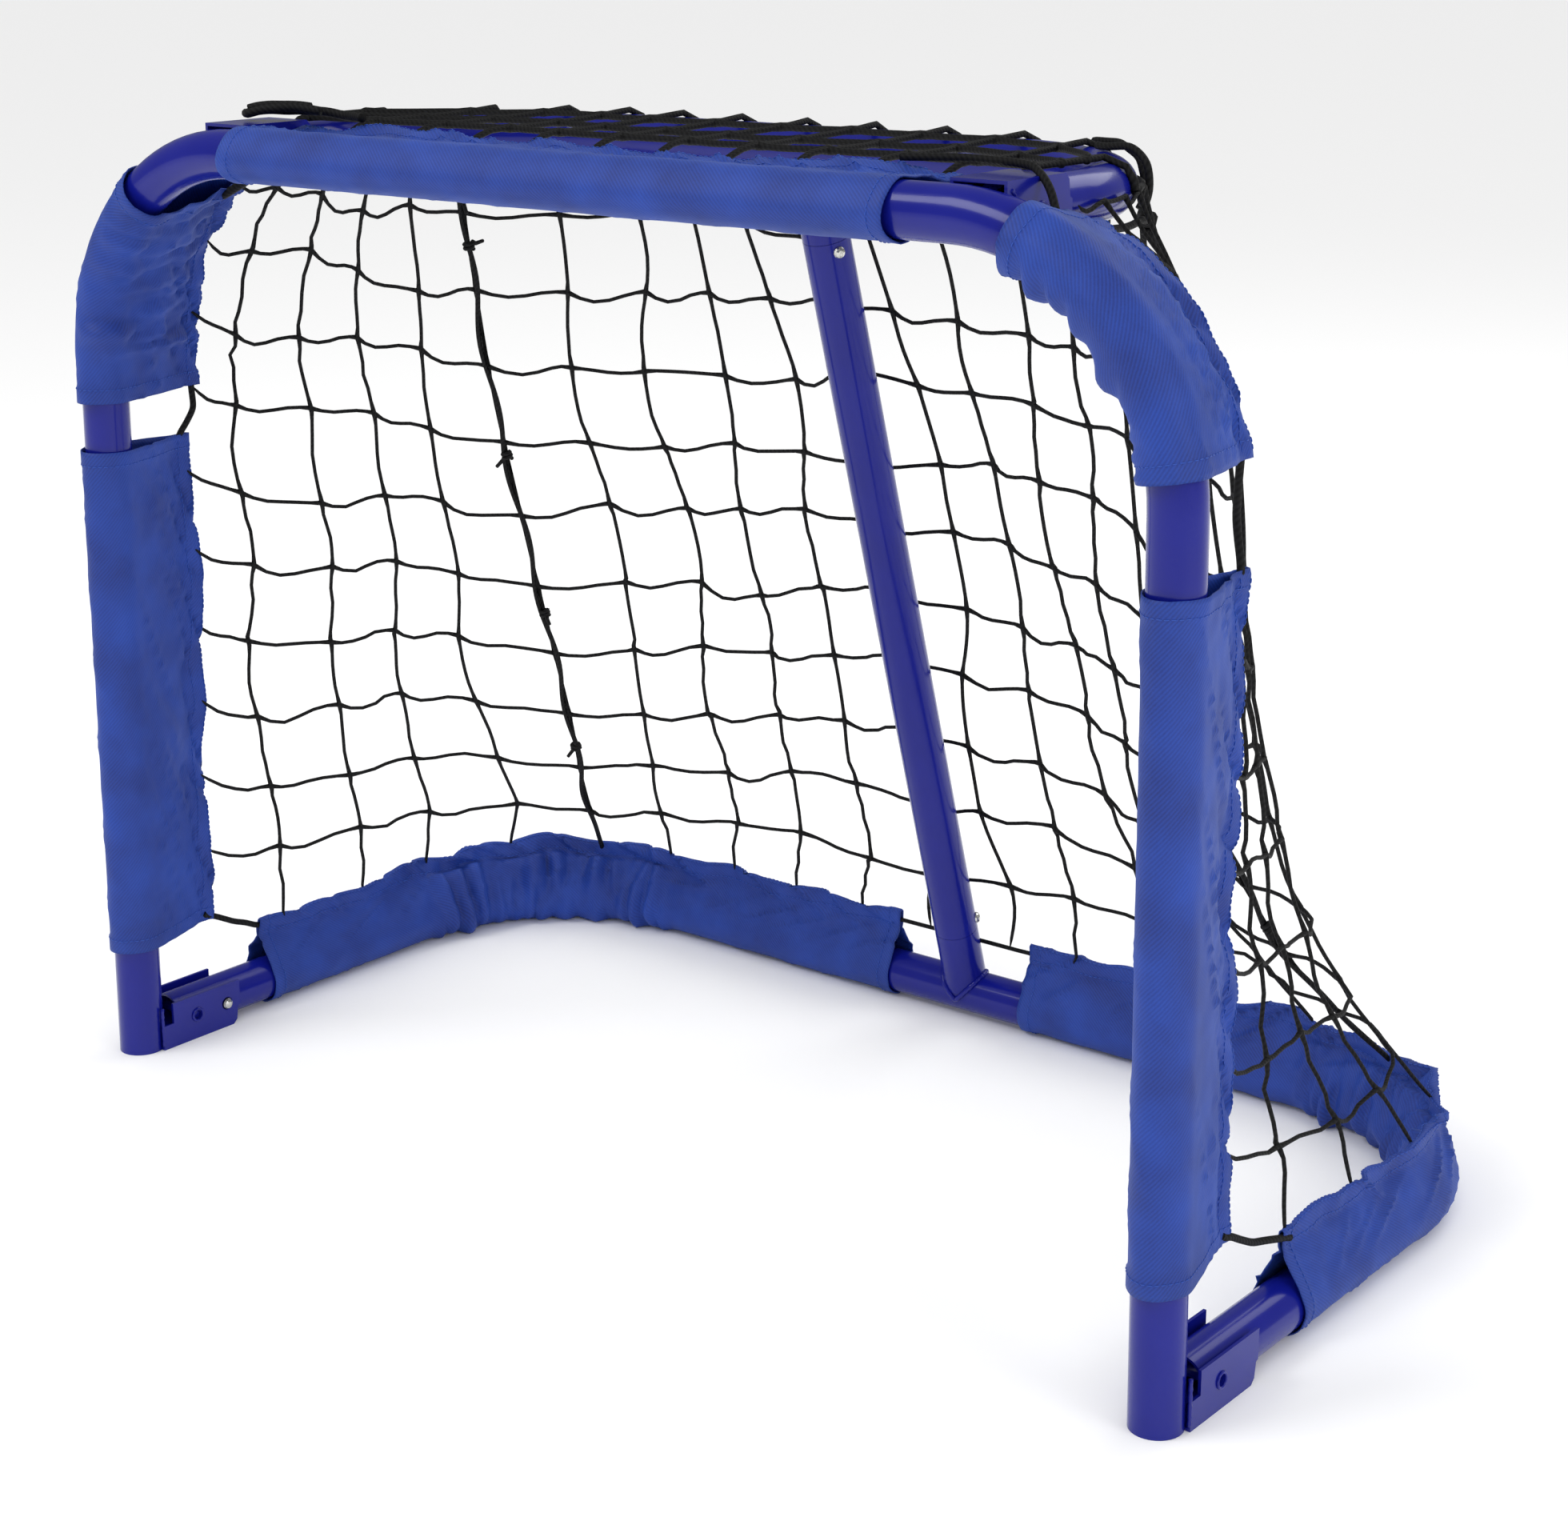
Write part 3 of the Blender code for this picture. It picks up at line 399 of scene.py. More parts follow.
# %% The front frame: both posts and the crossbar are one tube
FRONT_CORNERS = [
    (-HALF, POST_Y, 0), (-LEAN, POST_Y, CROSSBAR_Z), (LEAN, POST_Y, CROSSBAR_Z), (HALF, POST_Y, 0),
]
bent_tube("front_tube", FRONT_CORNERS, FRONT_BEND, "front", "front_frame")

# %% [markdown]
# The base and top frames are the two loops that fold. Each is one tube with two bends, and its arms
# end inside the brackets on the posts. The real arms have holes there for the pin and the snap
# button. They are hidden between the bracket's walls, so the arms are drawn plain.

# %% Base and top frames
BASE_CORNERS = [
    (-HALF, ARM_FRONT, BASE_Z), (-HALF, BASE_Y, BASE_Z), (HALF, BASE_Y, BASE_Z), (HALF, ARM_FRONT, BASE_Z),
]


def top_corners(out=0.0):
    """The top frame's corners, or those of a line that runs beside its tube."""
    wide = TOP_HALF + out
    rear = TOP_Y + out
    return [(-wide, ARM_FRONT, CROSSBAR_Z), (-wide, rear, CROSSBAR_Z),
            (wide, rear, CROSSBAR_Z), (wide, ARM_FRONT, CROSSBAR_Z)]


bent_tube("base_tube", BASE_CORNERS, BASE_BEND, "base", "base_frame")
bent_tube("top_tube", top_corners(), TOP_BEND, "top", "top_frame")

# %% [markdown]
# The rear strut is a straight tube that holds the two loops apart. It slides over a spigot at each
# end, against a short stub that is welded to the loop. A hair's gap at each stub shows as the dark
# line that a real push fit has.

# %% The rear strut and its stubs
BASE_STUB = 56 * MM
TOP_STUB = 60 * MM
STUB_GAP = 0.3 * MM
STUB_ROOT = TUBE_R * 0.4  # a stub starts inside the tube that it is welded to
foot = Vector((0, BASE_Y, BASE_Z))
head = Vector((0, TOP_Y, CROSSBAR_Z))
strut_way = (head - foot).normalized()
bent_tube("strut_tube", [foot + strut_way * (BASE_STUB + STUB_GAP), head - strut_way * (TOP_STUB + STUB_GAP)],
          0, "strut", "rear_strut")
for body, end, way, length in (("base", foot, strut_way, BASE_STUB), ("top", head, -strut_way, TOP_STUB)):
    bent_tube(f"{body}_stub_tube", [end + way * STUB_ROOT, end + way * length], 0, body, f"{body}_stub")

# %% [markdown]
# ## Routes
# Sleeves and cords follow the tubes. A route is a list of points along straight runs and round
# bends, and a track finds the point and the direction at any length along it.


# %% Routes and tracks
ROUTE_STEP = math.radians(3)
FIND_STEP = 0.5 * MM
WAY_REACH = 3 * MM


def smooth(t):
    """Rises from 0 to 1 with level ends, as t goes from 0 to 1."""
    t = min(max(t, 0.0), 1.0)
    return t * t * (3 - 2 * t)


def route(corners, bend):
    points = [Vector(corners[0])]
    for before, corner, after in zip(corners, corners[1:], corners[2:]):
        back = (Vector(before) - Vector(corner)).normalized()
        on = (Vector(after) - Vector(corner)).normalized()
        half = back.angle(on) / 2
        centre = Vector(corner) + (back + on).normalized() * bend / math.sin(half)
        arm = Vector(corner) + back * bend / math.tan(half) - centre
        count = round((math.pi - 2 * half) / ROUTE_STEP)
        turn = Matrix.Rotation((math.pi - 2 * half) / count, 3, back.cross(arm).normalized())
        for _ in range(count + 1):
            points.append(centre + arm)
            arm = turn @ arm
    points.append(Vector(corners[-1]))
    return points


class Track:
    def __init__(self, points):
        self.points = points
        self.marks = [0.0]
        for a, b in zip(points, points[1:]):
            self.marks.append(self.marks[-1] + (b - a).length)
        self.length = self.marks[-1]

    def at(self, s):
        s = min(max(s, 0.0), self.length)
        k = 1
        while k < len(self.marks) - 1 and self.marks[k] < s:
            k += 1
        step = self.marks[k] - self.marks[k - 1]
        return self.points[k - 1].lerp(self.points[k], (s - self.marks[k - 1]) / step)

    def way(self, s):
        return (self.at(min(s + WAY_REACH, self.length)) - self.at(max(s - WAY_REACH, 0))).normalized()

    def find(self, test):
        """The first length along the track whose point passes the test."""
        s = 0.0
        while s < self.length and not test(self.at(s)):
            s += FIND_STEP
        return s


front_track = Track(route(FRONT_CORNERS, FRONT_BEND))
front_back = Track(list(reversed(front_track.points)))
base_track = Track(route(BASE_CORNERS, BASE_BEND))
base_back = Track(list(reversed(base_track.points)))
print("front tube", round(front_track.length, 3), "base tube", round(base_track.length, 3), "m long")

# %% [markdown]
# ## Cloth sleeves
# Each sleeve is a strip of twill folded round the tube. Its two edges are sewn together into a
# flap that points at the net and holds the net's border. Across, it is a teardrop: a taut round
# front, two straight sides that draw in, and a flat double hem.
#
# A cloth simulation could drape it, but the strip is held tight all round, so it is woven here row
# by row, with folds made from noise. They are deepest between the tube and the seam. Cloth bunches
# on the inside of a bend, and along the stitching it puckers.

# %% The teardrop section, its folds, and an object made from a mesh
CLOTH_GAP = 1.3 * MM
CLOTH_THICK = 0.8 * MM
LAYER = 1.1 * MM  # half the flap's thickness
SEAM = 13 * MM
HEM_POINTS = 4
SIDE_POINTS = 12
ARC_POINTS = 20


def teardrop(reach):
    """The section's points as (towards the flap's edge, sideways), and how loose each one is."""
    skin = TUBE_R + CLOTH_GAP
    seam = reach - SEAM
    meet = math.acos(min(0.98, skin / seam))
    half = []
    for k in range(HEM_POINTS):
        half.append((reach - SEAM * k / HEM_POINTS, LAYER, 0.25))
    for k in range(SIDE_POINTS):
        t = k / SIDE_POINTS
        a = seam + (skin * math.cos(meet) - seam) * t
        b = LAYER + (skin * math.sin(meet) - LAYER) * t
        half.append((a, b, 0.28 * t + 0.9 * math.sin(math.pi * t)))
    arc = []
    for k in range(ARC_POINTS + 1):
        turn = meet + (2 * math.pi - 2 * meet) * k / ARC_POINTS
        arc.append((skin * math.cos(turn), skin * math.sin(turn), 0.28))
    other = [(a, -b, loose) for a, b, loose in reversed(half)]
    return [(reach + LAYER, 0.0, 0.1), *half, *arc, *other]


def outward(outline, k):
    """The direction that points out of the section at its point k."""
    a0, b0, _ = outline[k - 1]
    a1, b1, _ = outline[(k + 1) % len(outline)]
    out = Vector((b1 - b0, -(a1 - a0)))
    return out.normalized() if out.length else Vector((1, 0))


def wrinkle(s, v, long, wide, slant, seed):
    """Noise of -1 to 1 whose folds are long along the sleeve, wide across it, and lean with slant."""
    lean = v / slant if slant else 0.0
    return noise.noise(Vector((s / long + lean, v / wide, seed)))


def folds(s, v, seed):
    """Height of the cloth's folds: long slanted ones, short ones, a fine crumple and sharp creases."""
    broad = wrinkle(s, v, 70 * MM, 110 * MM, 50 * MM, seed)
    short = wrinkle(s, v, 24 * MM, 35 * MM, -60 * MM, seed + 7)
    fine = wrinkle(s, v, 10 * MM, 14 * MM, 0, seed + 13)
    crease = 1 - abs(wrinkle(s, v, 45 * MM, 60 * MM, 22 * MM, seed + 21)) * 2.2
    return 0.55 * broad + 0.30 * short + 0.08 * fine + 0.75 * max(0.0, crease) ** 5


def new_piece(name, bm, finish, body):
    mesh = bpy.data.meshes.new(name)
    bm.to_mesh(mesh)
    bm.free()
    mesh.shade_smooth()
    mesh.materials.append(finish)
    piece = bpy.data.objects.new(name, mesh)
    bpy.context.scene.collection.objects.link(piece)
    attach(piece, body)
    return piece


print("points in a section", len(teardrop(72 * MM)))

# %% [markdown]
# The sleeves are lock-stitched: one line along the hem's inner edge, one near the flap's edge, and
# one round each end's turned hem. A drawn line would vanish from the side, so each stitch is a
# short thread with tapered ends. It has few faces, because there are thousands.

# %% Stitches, as short raised threads
STITCH = 2.8 * MM
STITCH_GAP = 1.1 * MM
STITCH_SIDES = 5
THREAD_R = 0.32 * MM
THREAD_STAND = 0.15 * MM
THREAD_SHAPE = ((0.0, 0.45), (0.25, 1.0), (0.75, 1.0), (1.0, 0.45))  # share of the stitch, thickness


def stitching(name, lines, body):
    bm = bmesh.new()
    for line in lines:
        track = Track([co + normal * THREAD_STAND for co, normal in line])
        s = STITCH_GAP
        while s + STITCH < track.length:
            share = (s + STITCH / 2) / track.length
            normal = line[min(len(line) - 1, int(share * len(line)))][1]
            way = track.way(s + STITCH / 2)
            side = way.cross(normal).normalized()
            rings = []
            for part, thick in THREAD_SHAPE:
                at = track.at(s + STITCH * part)
                rings.append([
                    bm.verts.new(at + (side * math.cos(t) + normal * math.sin(t)) * THREAD_R * thick)
                    for t in (math.pi * 2 * k / STITCH_SIDES for k in range(STITCH_SIDES))
                ])
            for ring, after in zip(rings, rings[1:]):
                for k in range(STITCH_SIDES):
                    n = (k + 1) % STITCH_SIDES
                    bm.faces.new((ring[k], ring[n], after[n], after[k]))
            bm.faces.new(rings[0])
            bm.faces.new(rings[-1])
            s += STITCH + STITCH_GAP
    bmesh.ops.recalc_face_normals(bm, faces=bm.faces)
    return new_piece(name, bm, thread_blue, body)


print("a stitch every", STITCH + STITCH_GAP, "m")

# %% [markdown]
# A sleeve is made in three steps. The cloth is woven as a tube of quads round the section, with the
# folds pushed outwards so that it never goes into the steel. Its stitches are laid on it. Then
# Solidify gives the cloth its thickness, and the flat strip's size is worked out from its area.

# %% A sleeve
ROW = 3.2 * MM
END_HEM = 10 * MM
END_HEM_EDGE = 1.5 * MM
END_HEM_STAND = 0.7 * MM
END_EASE = 35 * MM  # over this length from an end the flap is calmer, because a rope holds it
BEND_REACH = 9 * MM
FULL_BEND = 0.09
PUCKER = 0.35 * MM
PUCKER_STEP = 8.5 * MM
FLOOR_CLEAR = 0.6 * MM
FLAP_MIDDLE = 3  # the section's point half way across the hem
FLAP_LINES = {}  # the middle of each sleeve's hem, which holds the net


def weave_cloth(rows, around, girth):
    """A tube of quads through rows of (points, length along), with the cloth laid flat as its UV map."""
    bm = bmesh.new()
    uv = bm.loops.layers.uv.new("cloth")
    grid = [[bm.verts.new(place) for place in points] for points, _ in rows]
    marks = [s for _, s in rows]
    across = [*around, girth]
    for row, after, s0, s1 in zip(grid, grid[1:], marks, marks[1:]):
        for k in range(len(row)):
            n = (k + 1) % len(row)
            face = bm.faces.new((row[k], row[n], after[n], after[k]))
            v0, v1 = across[k], across[k + 1]
            for loop, where in zip(face.loops, ((s0, v0), (s0, v1), (s1, v1), (s1, v0))):
                loop[uv].uv = where
    bm.normal_update()
    middle = grid[len(grid) // 2]
    centre = sum((vert.co for vert in middle), Vector()) / len(middle)
    sample = middle[len(middle) // 2]
    if sample.normal.dot(sample.co - centre) < 0:
        bmesh.ops.reverse_faces(bm, faces=bm.faces)
    bm.normal_update()
    return bm, grid


def stitch_lines(grid, row_length):
    """Points and normals of the seams along both faces of the flap and round both ends."""
    count = len(grid[0])
    lines = [
        [(row[k].co.copy(), row[k].normal.copy()) for row in grid[1:-1]]
        for k in (1, HEM_POINTS, count - 1, count - HEM_POINTS)
    ]
    inset = round((END_HEM - END_HEM_EDGE) / row_length)
    for row in (grid[inset], grid[-1 - inset]):
        lines.append([(vert.co.copy(), vert.normal.copy()) for vert in [*row, row[0]]])
    return lines


def sleeve(name, track, start, end, flap_way, reach, body, node, seed, deep=7 * MM, wave=5 * MM, nose=3 * MM,
           gather=8 * MM, ragged=2.5 * MM):
    """The sleeve along a track from start to end, whose flap points flap_way and ends at reach.

    deep is the height of the folds, wave how far the flap sways, nose how far the front crease stands
    out, gather how far the cloth bunches inside a bend, and ragged how uneven the flap's edge is.
    """
    outline = teardrop(reach)
    count = len(outline)
    outs = [outward(outline, k) for k in range(count)]
    puckered = (1, HEM_POINTS, HEM_POINTS + 1, count - HEM_POINTS, count - HEM_POINTS - 1)
    around = [0.0]
    for (a, b, _), (a1, b1, _) in zip(outline, [*outline[1:], outline[0]]):
        around.append(around[-1] + math.hypot(a1 - a, b1 - b))
    girth = around.pop()

    def row_at(s):
        at = track.at(s)
        way = track.way(s)
        bend = track.way(s + BEND_REACH) - track.way(s - BEND_REACH)
        bunch = gather * smooth(bend.length / FULL_BEND)
        inward = bend.normalized()
        across = (flap_way - way * flap_way.dot(way)).normalized()
        side = way.cross(across).normalized()
        from_end = min(s - start, end - s)
        hem = smooth((END_HEM + END_HEM_EDGE - from_end) / END_HEM_EDGE) * END_HEM_STAND
        calm = 0.4 + 0.6 * smooth(from_end / END_EASE)
        sway = wave * noise.noise(Vector((s / 0.085, seed * 3.1, 0))) * 1.6
        uneven = ragged * 2 * noise.noise(Vector((s / 0.045, seed, 5)))
        ripple = PUCKER * math.sin(s * 2 * math.pi / PUCKER_STEP + seed)
        points = []
        for k, ((a, b, loose), out, v) in enumerate(zip(outline, outs, around)):
            free = smooth((a - TUBE_R) / (reach - TUBE_R)) * calm
            lift = hem + abs(folds(s, v, seed + 50)) * 0.6 * deep * loose + ripple * (k in puckered)
            lift += nose * max(0.0, -a / math.hypot(a, b)) ** 6
            inside = max(0.0, (across * out.x + side * out.y).dot(inward))
            crumple = 0.15 + 1.9 * abs(noise.noise(Vector((s / 0.017, v / 0.05, seed + 40))))
            lift += bunch * inside * crumple * (1 if a < reach - SEAM else 0.3)
            outer_a = a + out.x * lift + uneven * free
            outer_b = b + out.y * lift + (sway + folds(s, a, seed) * deep) * free
            place = at + across * outer_a + side * outer_b
            place.z = max(place.z, FLOOR_CLEAR)
            points.append(place)
        return points, s

    length = end - start
    count_rows = max(6, round(length / ROW))
    rows = [row_at(start + length * i / count_rows) for i in range(count_rows + 1)]
    bm, grid = weave_cloth(rows, around, girth)
    lines = stitch_lines(grid, length / count_rows)
    FLAP_LINES[name] = [(row[FLAP_MIDDLE].co + row[-FLAP_MIDDLE].co) / 2 for row in grid]
    width = sum(face.calc_area() for face in bm.faces) / length

    piece = new_piece(name, bm, blue_twill, body)
    bpy.ops.object.select_all(action="DESELECT")
    bpy.context.view_layer.objects.active = piece
    piece.select_set(True)
    skin = piece.modifiers.new("cloth", "SOLIDIFY")
    skin.thickness = CLOTH_THICK
    skin.offset = -1
    bpy.ops.object.modifier_apply(modifier=skin.name)
    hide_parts(node)
    thread = stitching(f"{name}_stitches", lines, body)
    print(name, "cut from", round(width, 3), "x", round(length, 3), "m")


# %% [markdown]
# The posts' sleeves stop short of each other, so that the tube shows between them. They were pulled
# on by hand and don't match left and right, so each side has its own heights.

# %% Post and corner sleeves
BACK = Vector((0, 1, 0))
UP = Vector((0, 0, 1))
POST_FLAP = 72 * MM
FOOT_GAP = {"left": 80, "right": 85}  # mm of bare tube below the post's sleeve
POSTS = (  # track, sleeve's top and next sleeve's foot in mm, degrees round the bend, flap, seed
    ("left", front_track, 448, 482, 54, 83, 3.0),
    ("right", front_back, 474, 533, 72, 74, 9.0),
)
for label, track, sleeve_top, corner_foot, angle, corner_flap, seed in POSTS:
    start = track.find(lambda p: p.z > FOOT_GAP[label] * MM)
    end = track.find(lambda p: p.z > sleeve_top * MM)
    sleeve(f"post_cloth_{label}", track, start, end, BACK, POST_FLAP, "front", f"post_sleeve_{label}", seed)
    start = track.find(lambda p: p.z > corner_foot * MM)
    bend_z = CROSSBAR_Z - FRONT_BEND
    end = track.find(lambda p: p.z > bend_z + FRONT_BEND * math.sin(math.radians(angle)))
    sleeve(f"corner_cloth_{label}", track, start, end, BACK, corner_flap * MM, "front",
           f"corner_sleeve_{label}", seed + 2, deep=9 * MM)

# %% [markdown]
# The crossbar's sleeve is the tautest. The base sleeves are the loosest: their cloth is rucked up
# where the tube bends, and their flaps stand up to hold the foot of the net. A gap between them
# leaves room for the strut.

# %% Crossbar and base sleeves
CROSSBAR_FLAP = 55 * MM
CROSSBAR_TILT = math.radians(14)
CROSSBAR_ENDS = (-276 * MM, 253 * MM)
start, end = (front_track.find(lambda p: p.x > x) for x in CROSSBAR_ENDS)
tilted = BACK * math.cos(CROSSBAR_TILT) + UP * math.sin(CROSSBAR_TILT)
sleeve("crossbar_cloth", front_track, start, end, tilted, CROSSBAR_FLAP, "front", "crossbar_sleeve", 17.0,
       deep=5 * MM, wave=2.5 * MM, nose=3.5 * MM)

BASE_FLAP = 48 * MM
MOUTH = {"left": 116, "right": 135}  # mm from the posts' plane to the base sleeve's front end
BASE_SLEEVES = (  # track, where the sleeve stops beside the strut in mm, side, seed
    ("left", base_track, -62, 1, 25.0),
    ("right", base_back, 57, -1, 31.0),
)
for label, track, stop, sign, seed in BASE_SLEEVES:
    start = track.find(lambda p: p.y > POST_Y + MOUTH[label] * MM)
    end = track.find(lambda p: sign * p.x > sign * stop * MM)
    sleeve(f"base_cloth_{label}", track, start, end, UP, BASE_FLAP, "base", f"base_sleeve_{label}", seed,
           deep=9 * MM, wave=5 * MM, nose=0, gather=12 * MM, ragged=3.5 * MM)

# %% [markdown]
# ## Net
# The net is knotless: its cords are braided through each other, so each crossing is only a little
# thicker than the cord. A panel is a soft surface between four edges. Its cords follow that
# surface at steps of about 50 mm, sag a little between crossings and pull each other askew. A
# Wireframe modifier would be shorter to write, but it makes square bars of one thickness.


# %% Cords as tubes, and a panel of cords laid over a surface
def cords(name, lines, radius, body, sides=7, finish=braid):
    """One piece of many cords. A line is a list of (point, share of the radius there)."""
    bm = bmesh.new()
    uv = bm.loops.layers.uv.new("cord")
    for line in lines:
        points = [Vector(p[0]) for p in line]
        sizes = [p[1] for p in line]
        side = None
        rings = []
        run = 0.0
        for k, point in enumerate(points):
            way = (points[min(k + 1, len(points) - 1)] - points[max(k - 1, 0)]).normalized()
            if side is None:
                side = way.orthogonal().normalized()
            side = (side - way * side.dot(way)).normalized()
            other = way.cross(side)
            if k:
                run += (point - points[k - 1]).length
            ring = [
                bm.verts.new(point + (side * math.cos(t) + other * math.sin(t)) * radius * sizes[k])
                for t in (2 * math.pi * n / sides for n in range(sides))
            ]
            rings.append((ring, run))
        for (ring, s0), (after, s1) in zip(rings, rings[1:]):
            for k in range(sides):
                n = (k + 1) % sides
                face = bm.faces.new((ring[k], ring[n], after[n], after[k]))
                v0 = 2 * math.pi * radius * k / sides
                v1 = 2 * math.pi * radius * (k + 1) / sides
                for loop, where in zip(face.loops, ((s0, v0), (s0, v1), (s1, v1), (s1, v0))):
                    loop[uv].uv = where
        bm.faces.new(rings[0][0])
        bm.faces.new(rings[-1][0])
    bmesh.ops.recalc_face_normals(bm, faces=bm.faces)
    return new_piece(name, bm, finish, body)


CORD_R = 1.35 * MM
STEPS = (0.0, 0.05, 0.15, 0.32, 0.5, 0.68, 0.85, 0.95)  # points of a cord within one cell
SWELL = {0.0: 1.45, 0.05: 1.28, 0.95: 1.28}  # how thick the cord is at and beside a crossing
TAPER = (0.3, 0.5, 0.9)  # and where it enters a flap


def panel(across, rows, surface, seed, askew=0.16, sag=4 * MM, columns_from=0, rows_from=0):
    """surface(u, v) gives the panel; its inner crossings are pulled askew by a share of a cell.
    A first column or row that lies inside a flap isn't drawn, and the cords taper as they enter it."""

    def point(i, j):
        u, v = i / across, j / rows
        edge = min(1.0, min(u, 1 - u) * across) * min(1.0, min(v, 1 - v) * rows)
        du = noise.noise(Vector((i * 0.55, j * 0.45, seed))) * askew * edge / across * 2
        dv = noise.noise(Vector((i * 0.5, j * 0.6, seed + 31))) * askew * edge / rows * 2
        at = surface(min(1, max(0, u + du)), min(1, max(0, v + dv)))
        loose = 0.9 + 1.6 * noise.noise(Vector((math.floor(i) * 1.7, math.floor(j) * 2.3, seed + 3)))
        along = i - math.floor(i)
        down = j - math.floor(j)
        at.z -= sag * loose * (math.sin(math.pi * along) + 0.45 * math.sin(2 * math.pi * along)) * (down == 0)
        at.x += sag * 0.5 * (loose - 0.9) * math.sin(math.pi * down) * (along == 0) * edge
        at.y += sag * 0.5 * noise.noise(Vector((i * 1.3, j * 1.1, seed + 5))) * edge
        return at

    def cord(places, last, tapered):
        line = [(point(i, j), SWELL.get(t, 1.0)) for i, j, t in places]
        if tapered:
            line[:len(TAPER)] = [(at, size) for (at, _), size in zip(line, TAPER)]
        return [*line, (point(*last), SWELL[0.0])]

    columns = [
        cord([(i, j + t, t) for j in range(rows) for t in STEPS], (i, rows), rows_from > 0)
        for i in range(columns_from, across + 1)
    ]
    return columns + [
        cord([(i + t, j, t) for i in range(across) for t in STEPS], (across, j), columns_from > 0)
        for j in range(rows_from, rows + 1)
    ]


def patch(bottom, top, start, end):
    """A surface filled in between four edges, each a function of 0 to 1."""

    def surface(u, v):
        ruled = bottom(u).lerp(top(u), v) + start(v).lerp(end(v), u)
        corners = bottom(0).lerp(bottom(1), u).lerp(top(0).lerp(top(1), u), v)
        return ruled - corners

    return surface


print("cord", CORD_R * 2, "m thick")

# %% [markdown]
# At the rear corners the back panel is laced to the side panels, which pulls them inwards. Each
# corner is a smooth line through listed points. Both are drawn on the left, and the right one
# is mirrored where it is used.

# %% The lines that the net's edges follow
HEM_DEPTH = 6.5 * MM
TOP_HEM_OUT = 3.5 * MM
SPLINE_STEPS = 8
top_hem = Track(route(top_corners(TUBE_R + TOP_HEM_OUT), TOP_BEND + (TUBE_R + TOP_HEM_OUT)))
hem_lift = Vector((0, 0, BASE_FLAP - HEM_DEPTH))
base_hem = Track([p + hem_lift for p in base_track.points])


def spline(points):
    """A smooth line through the points."""
    points = [Vector(p) for p in points]
    padded = [points[0], *points, points[-1]]
    line = []
    for p0, p1, p2, p3 in zip(padded, padded[1:], padded[2:], padded[3:]):
        for k in range(SPLINE_STEPS):
            t = k / SPLINE_STEPS
            line.append(0.5 * (2 * p1 + (p2 - p0) * t + (2 * p0 - 5 * p1 + 4 * p2 - p3) * t**2
                               + (3 * p1 - p0 - 3 * p2 + p3) * t**3))
    return [*line, points[-1]]


def from_posts(*points):
    """Points given in mm from the middle of the goal, the posts' plane and the floor."""
    return [Vector((x * MM, POST_Y + y * MM, z * MM)) for x, y, z in points]


def mirror(at):
    return Vector((-at.x, at.y, at.z))


def flip(label):
    """What turns a point drawn on the left into one of this side."""
    return mirror if label == "right" else Vector


SEAM_FOOT_X = -356 * MM
SEAM_TOP_Y = 196 * MM
seam_foot = base_hem.find(lambda p: p.x > SEAM_FOOT_X and p.y > BASE_Y - BASE_BEND)
seam_top = top_hem.find(lambda p: p.y > POST_Y + SEAM_TOP_Y)
SEAM_POINTS = {
    "left": ((-292, 225, 560), (-298, 248, 470), (-296, 272, 374), (-297, 300, 280), (-306, 332, 200),
             (-326, 368, 130)),
    "right": ((-270, 225, 560), (-274, 240, 470), (-276, 260, 374), (-281, 291, 280), (-294, 322, 200),
              (-320, 360, 130)),
}
SEAMS = {
    label: Track(spline([base_hem.at(seam_foot), *reversed(from_posts(*points)), top_hem.at(seam_top)]))
    for label, points in SEAM_POINTS.items()
}
print("rear corners", {label: round(seam.length, 3) for label, seam in SEAMS.items()})

# %% [markdown]
# The back panel bellies a little to the rear and hangs clear behind the strut. Its foot follows the
# middle of each base flap, folds and all, so that no cord comes out through the cloth.

# %% Back panel
BACK_CELLS = (11, 11)
BELLY = 12 * MM
LOW_BELLY = 8 * MM
PULL = 0.42  # the share of the width over which the lacing's pull fades out
FLAP_NEAR = 35 * MM
HALVINGS = 26


def across_x(track, start, end, u):
    """The point of a mirrored track that stands at a share u of its width."""
    want = track.at(start).x + (track.at(end).x - track.at(start).x) * u
    before, beyond = start, end
    for _ in range(HALVINGS):
        middle = (before + beyond) / 2
        before, beyond = (middle, beyond) if track.at(middle).x < want else (before, middle)
    return track.at(before)


def into_flap(at, name):
    """Moves a point of the net's edge onto the middle of a sleeve's flap, less so the farther it is."""
    shift = min(FLAP_LINES[name], key=lambda p: (p - at).length) - at
    return at + shift * (1 - smooth(shift.length / FLAP_NEAR))


def low_back(u):
    at = across_x(base_hem, seam_foot, base_hem.length - seam_foot, u)
    return into_flap(at, "base_cloth_left" if at.x < 0 else "base_cloth_right")


def high_back(u):
    return across_x(top_hem, seam_top, top_hem.length - seam_top, u)


def along_seam(label, v):
    return SEAMS[label].at(SEAMS[label].length * v)


def back_surface(u, v):
    at = low_back(u).lerp(high_back(u), v)
    left_pull = along_seam("left", v) - low_back(0).lerp(high_back(0), v)
    right_pull = mirror(along_seam("right", v)) - low_back(1).lerp(high_back(1), v)
    at += left_pull * (1 - smooth(u / PULL)) + right_pull * (1 - smooth((1 - u) / PULL))
    at.y += BELLY * 16 * u * (1 - u) * v * (1 - v)
    at.y += LOW_BELLY * (1 - v) * min(1, 8 * v) * smooth(4 * u * (1 - u))
    return at


net_back = cords("back_net", panel(*BACK_CELLS, back_surface, 2.0, rows_from=1), CORD_R, "front")
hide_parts("net_back")
print("back panel", BACK_CELLS, "cells")

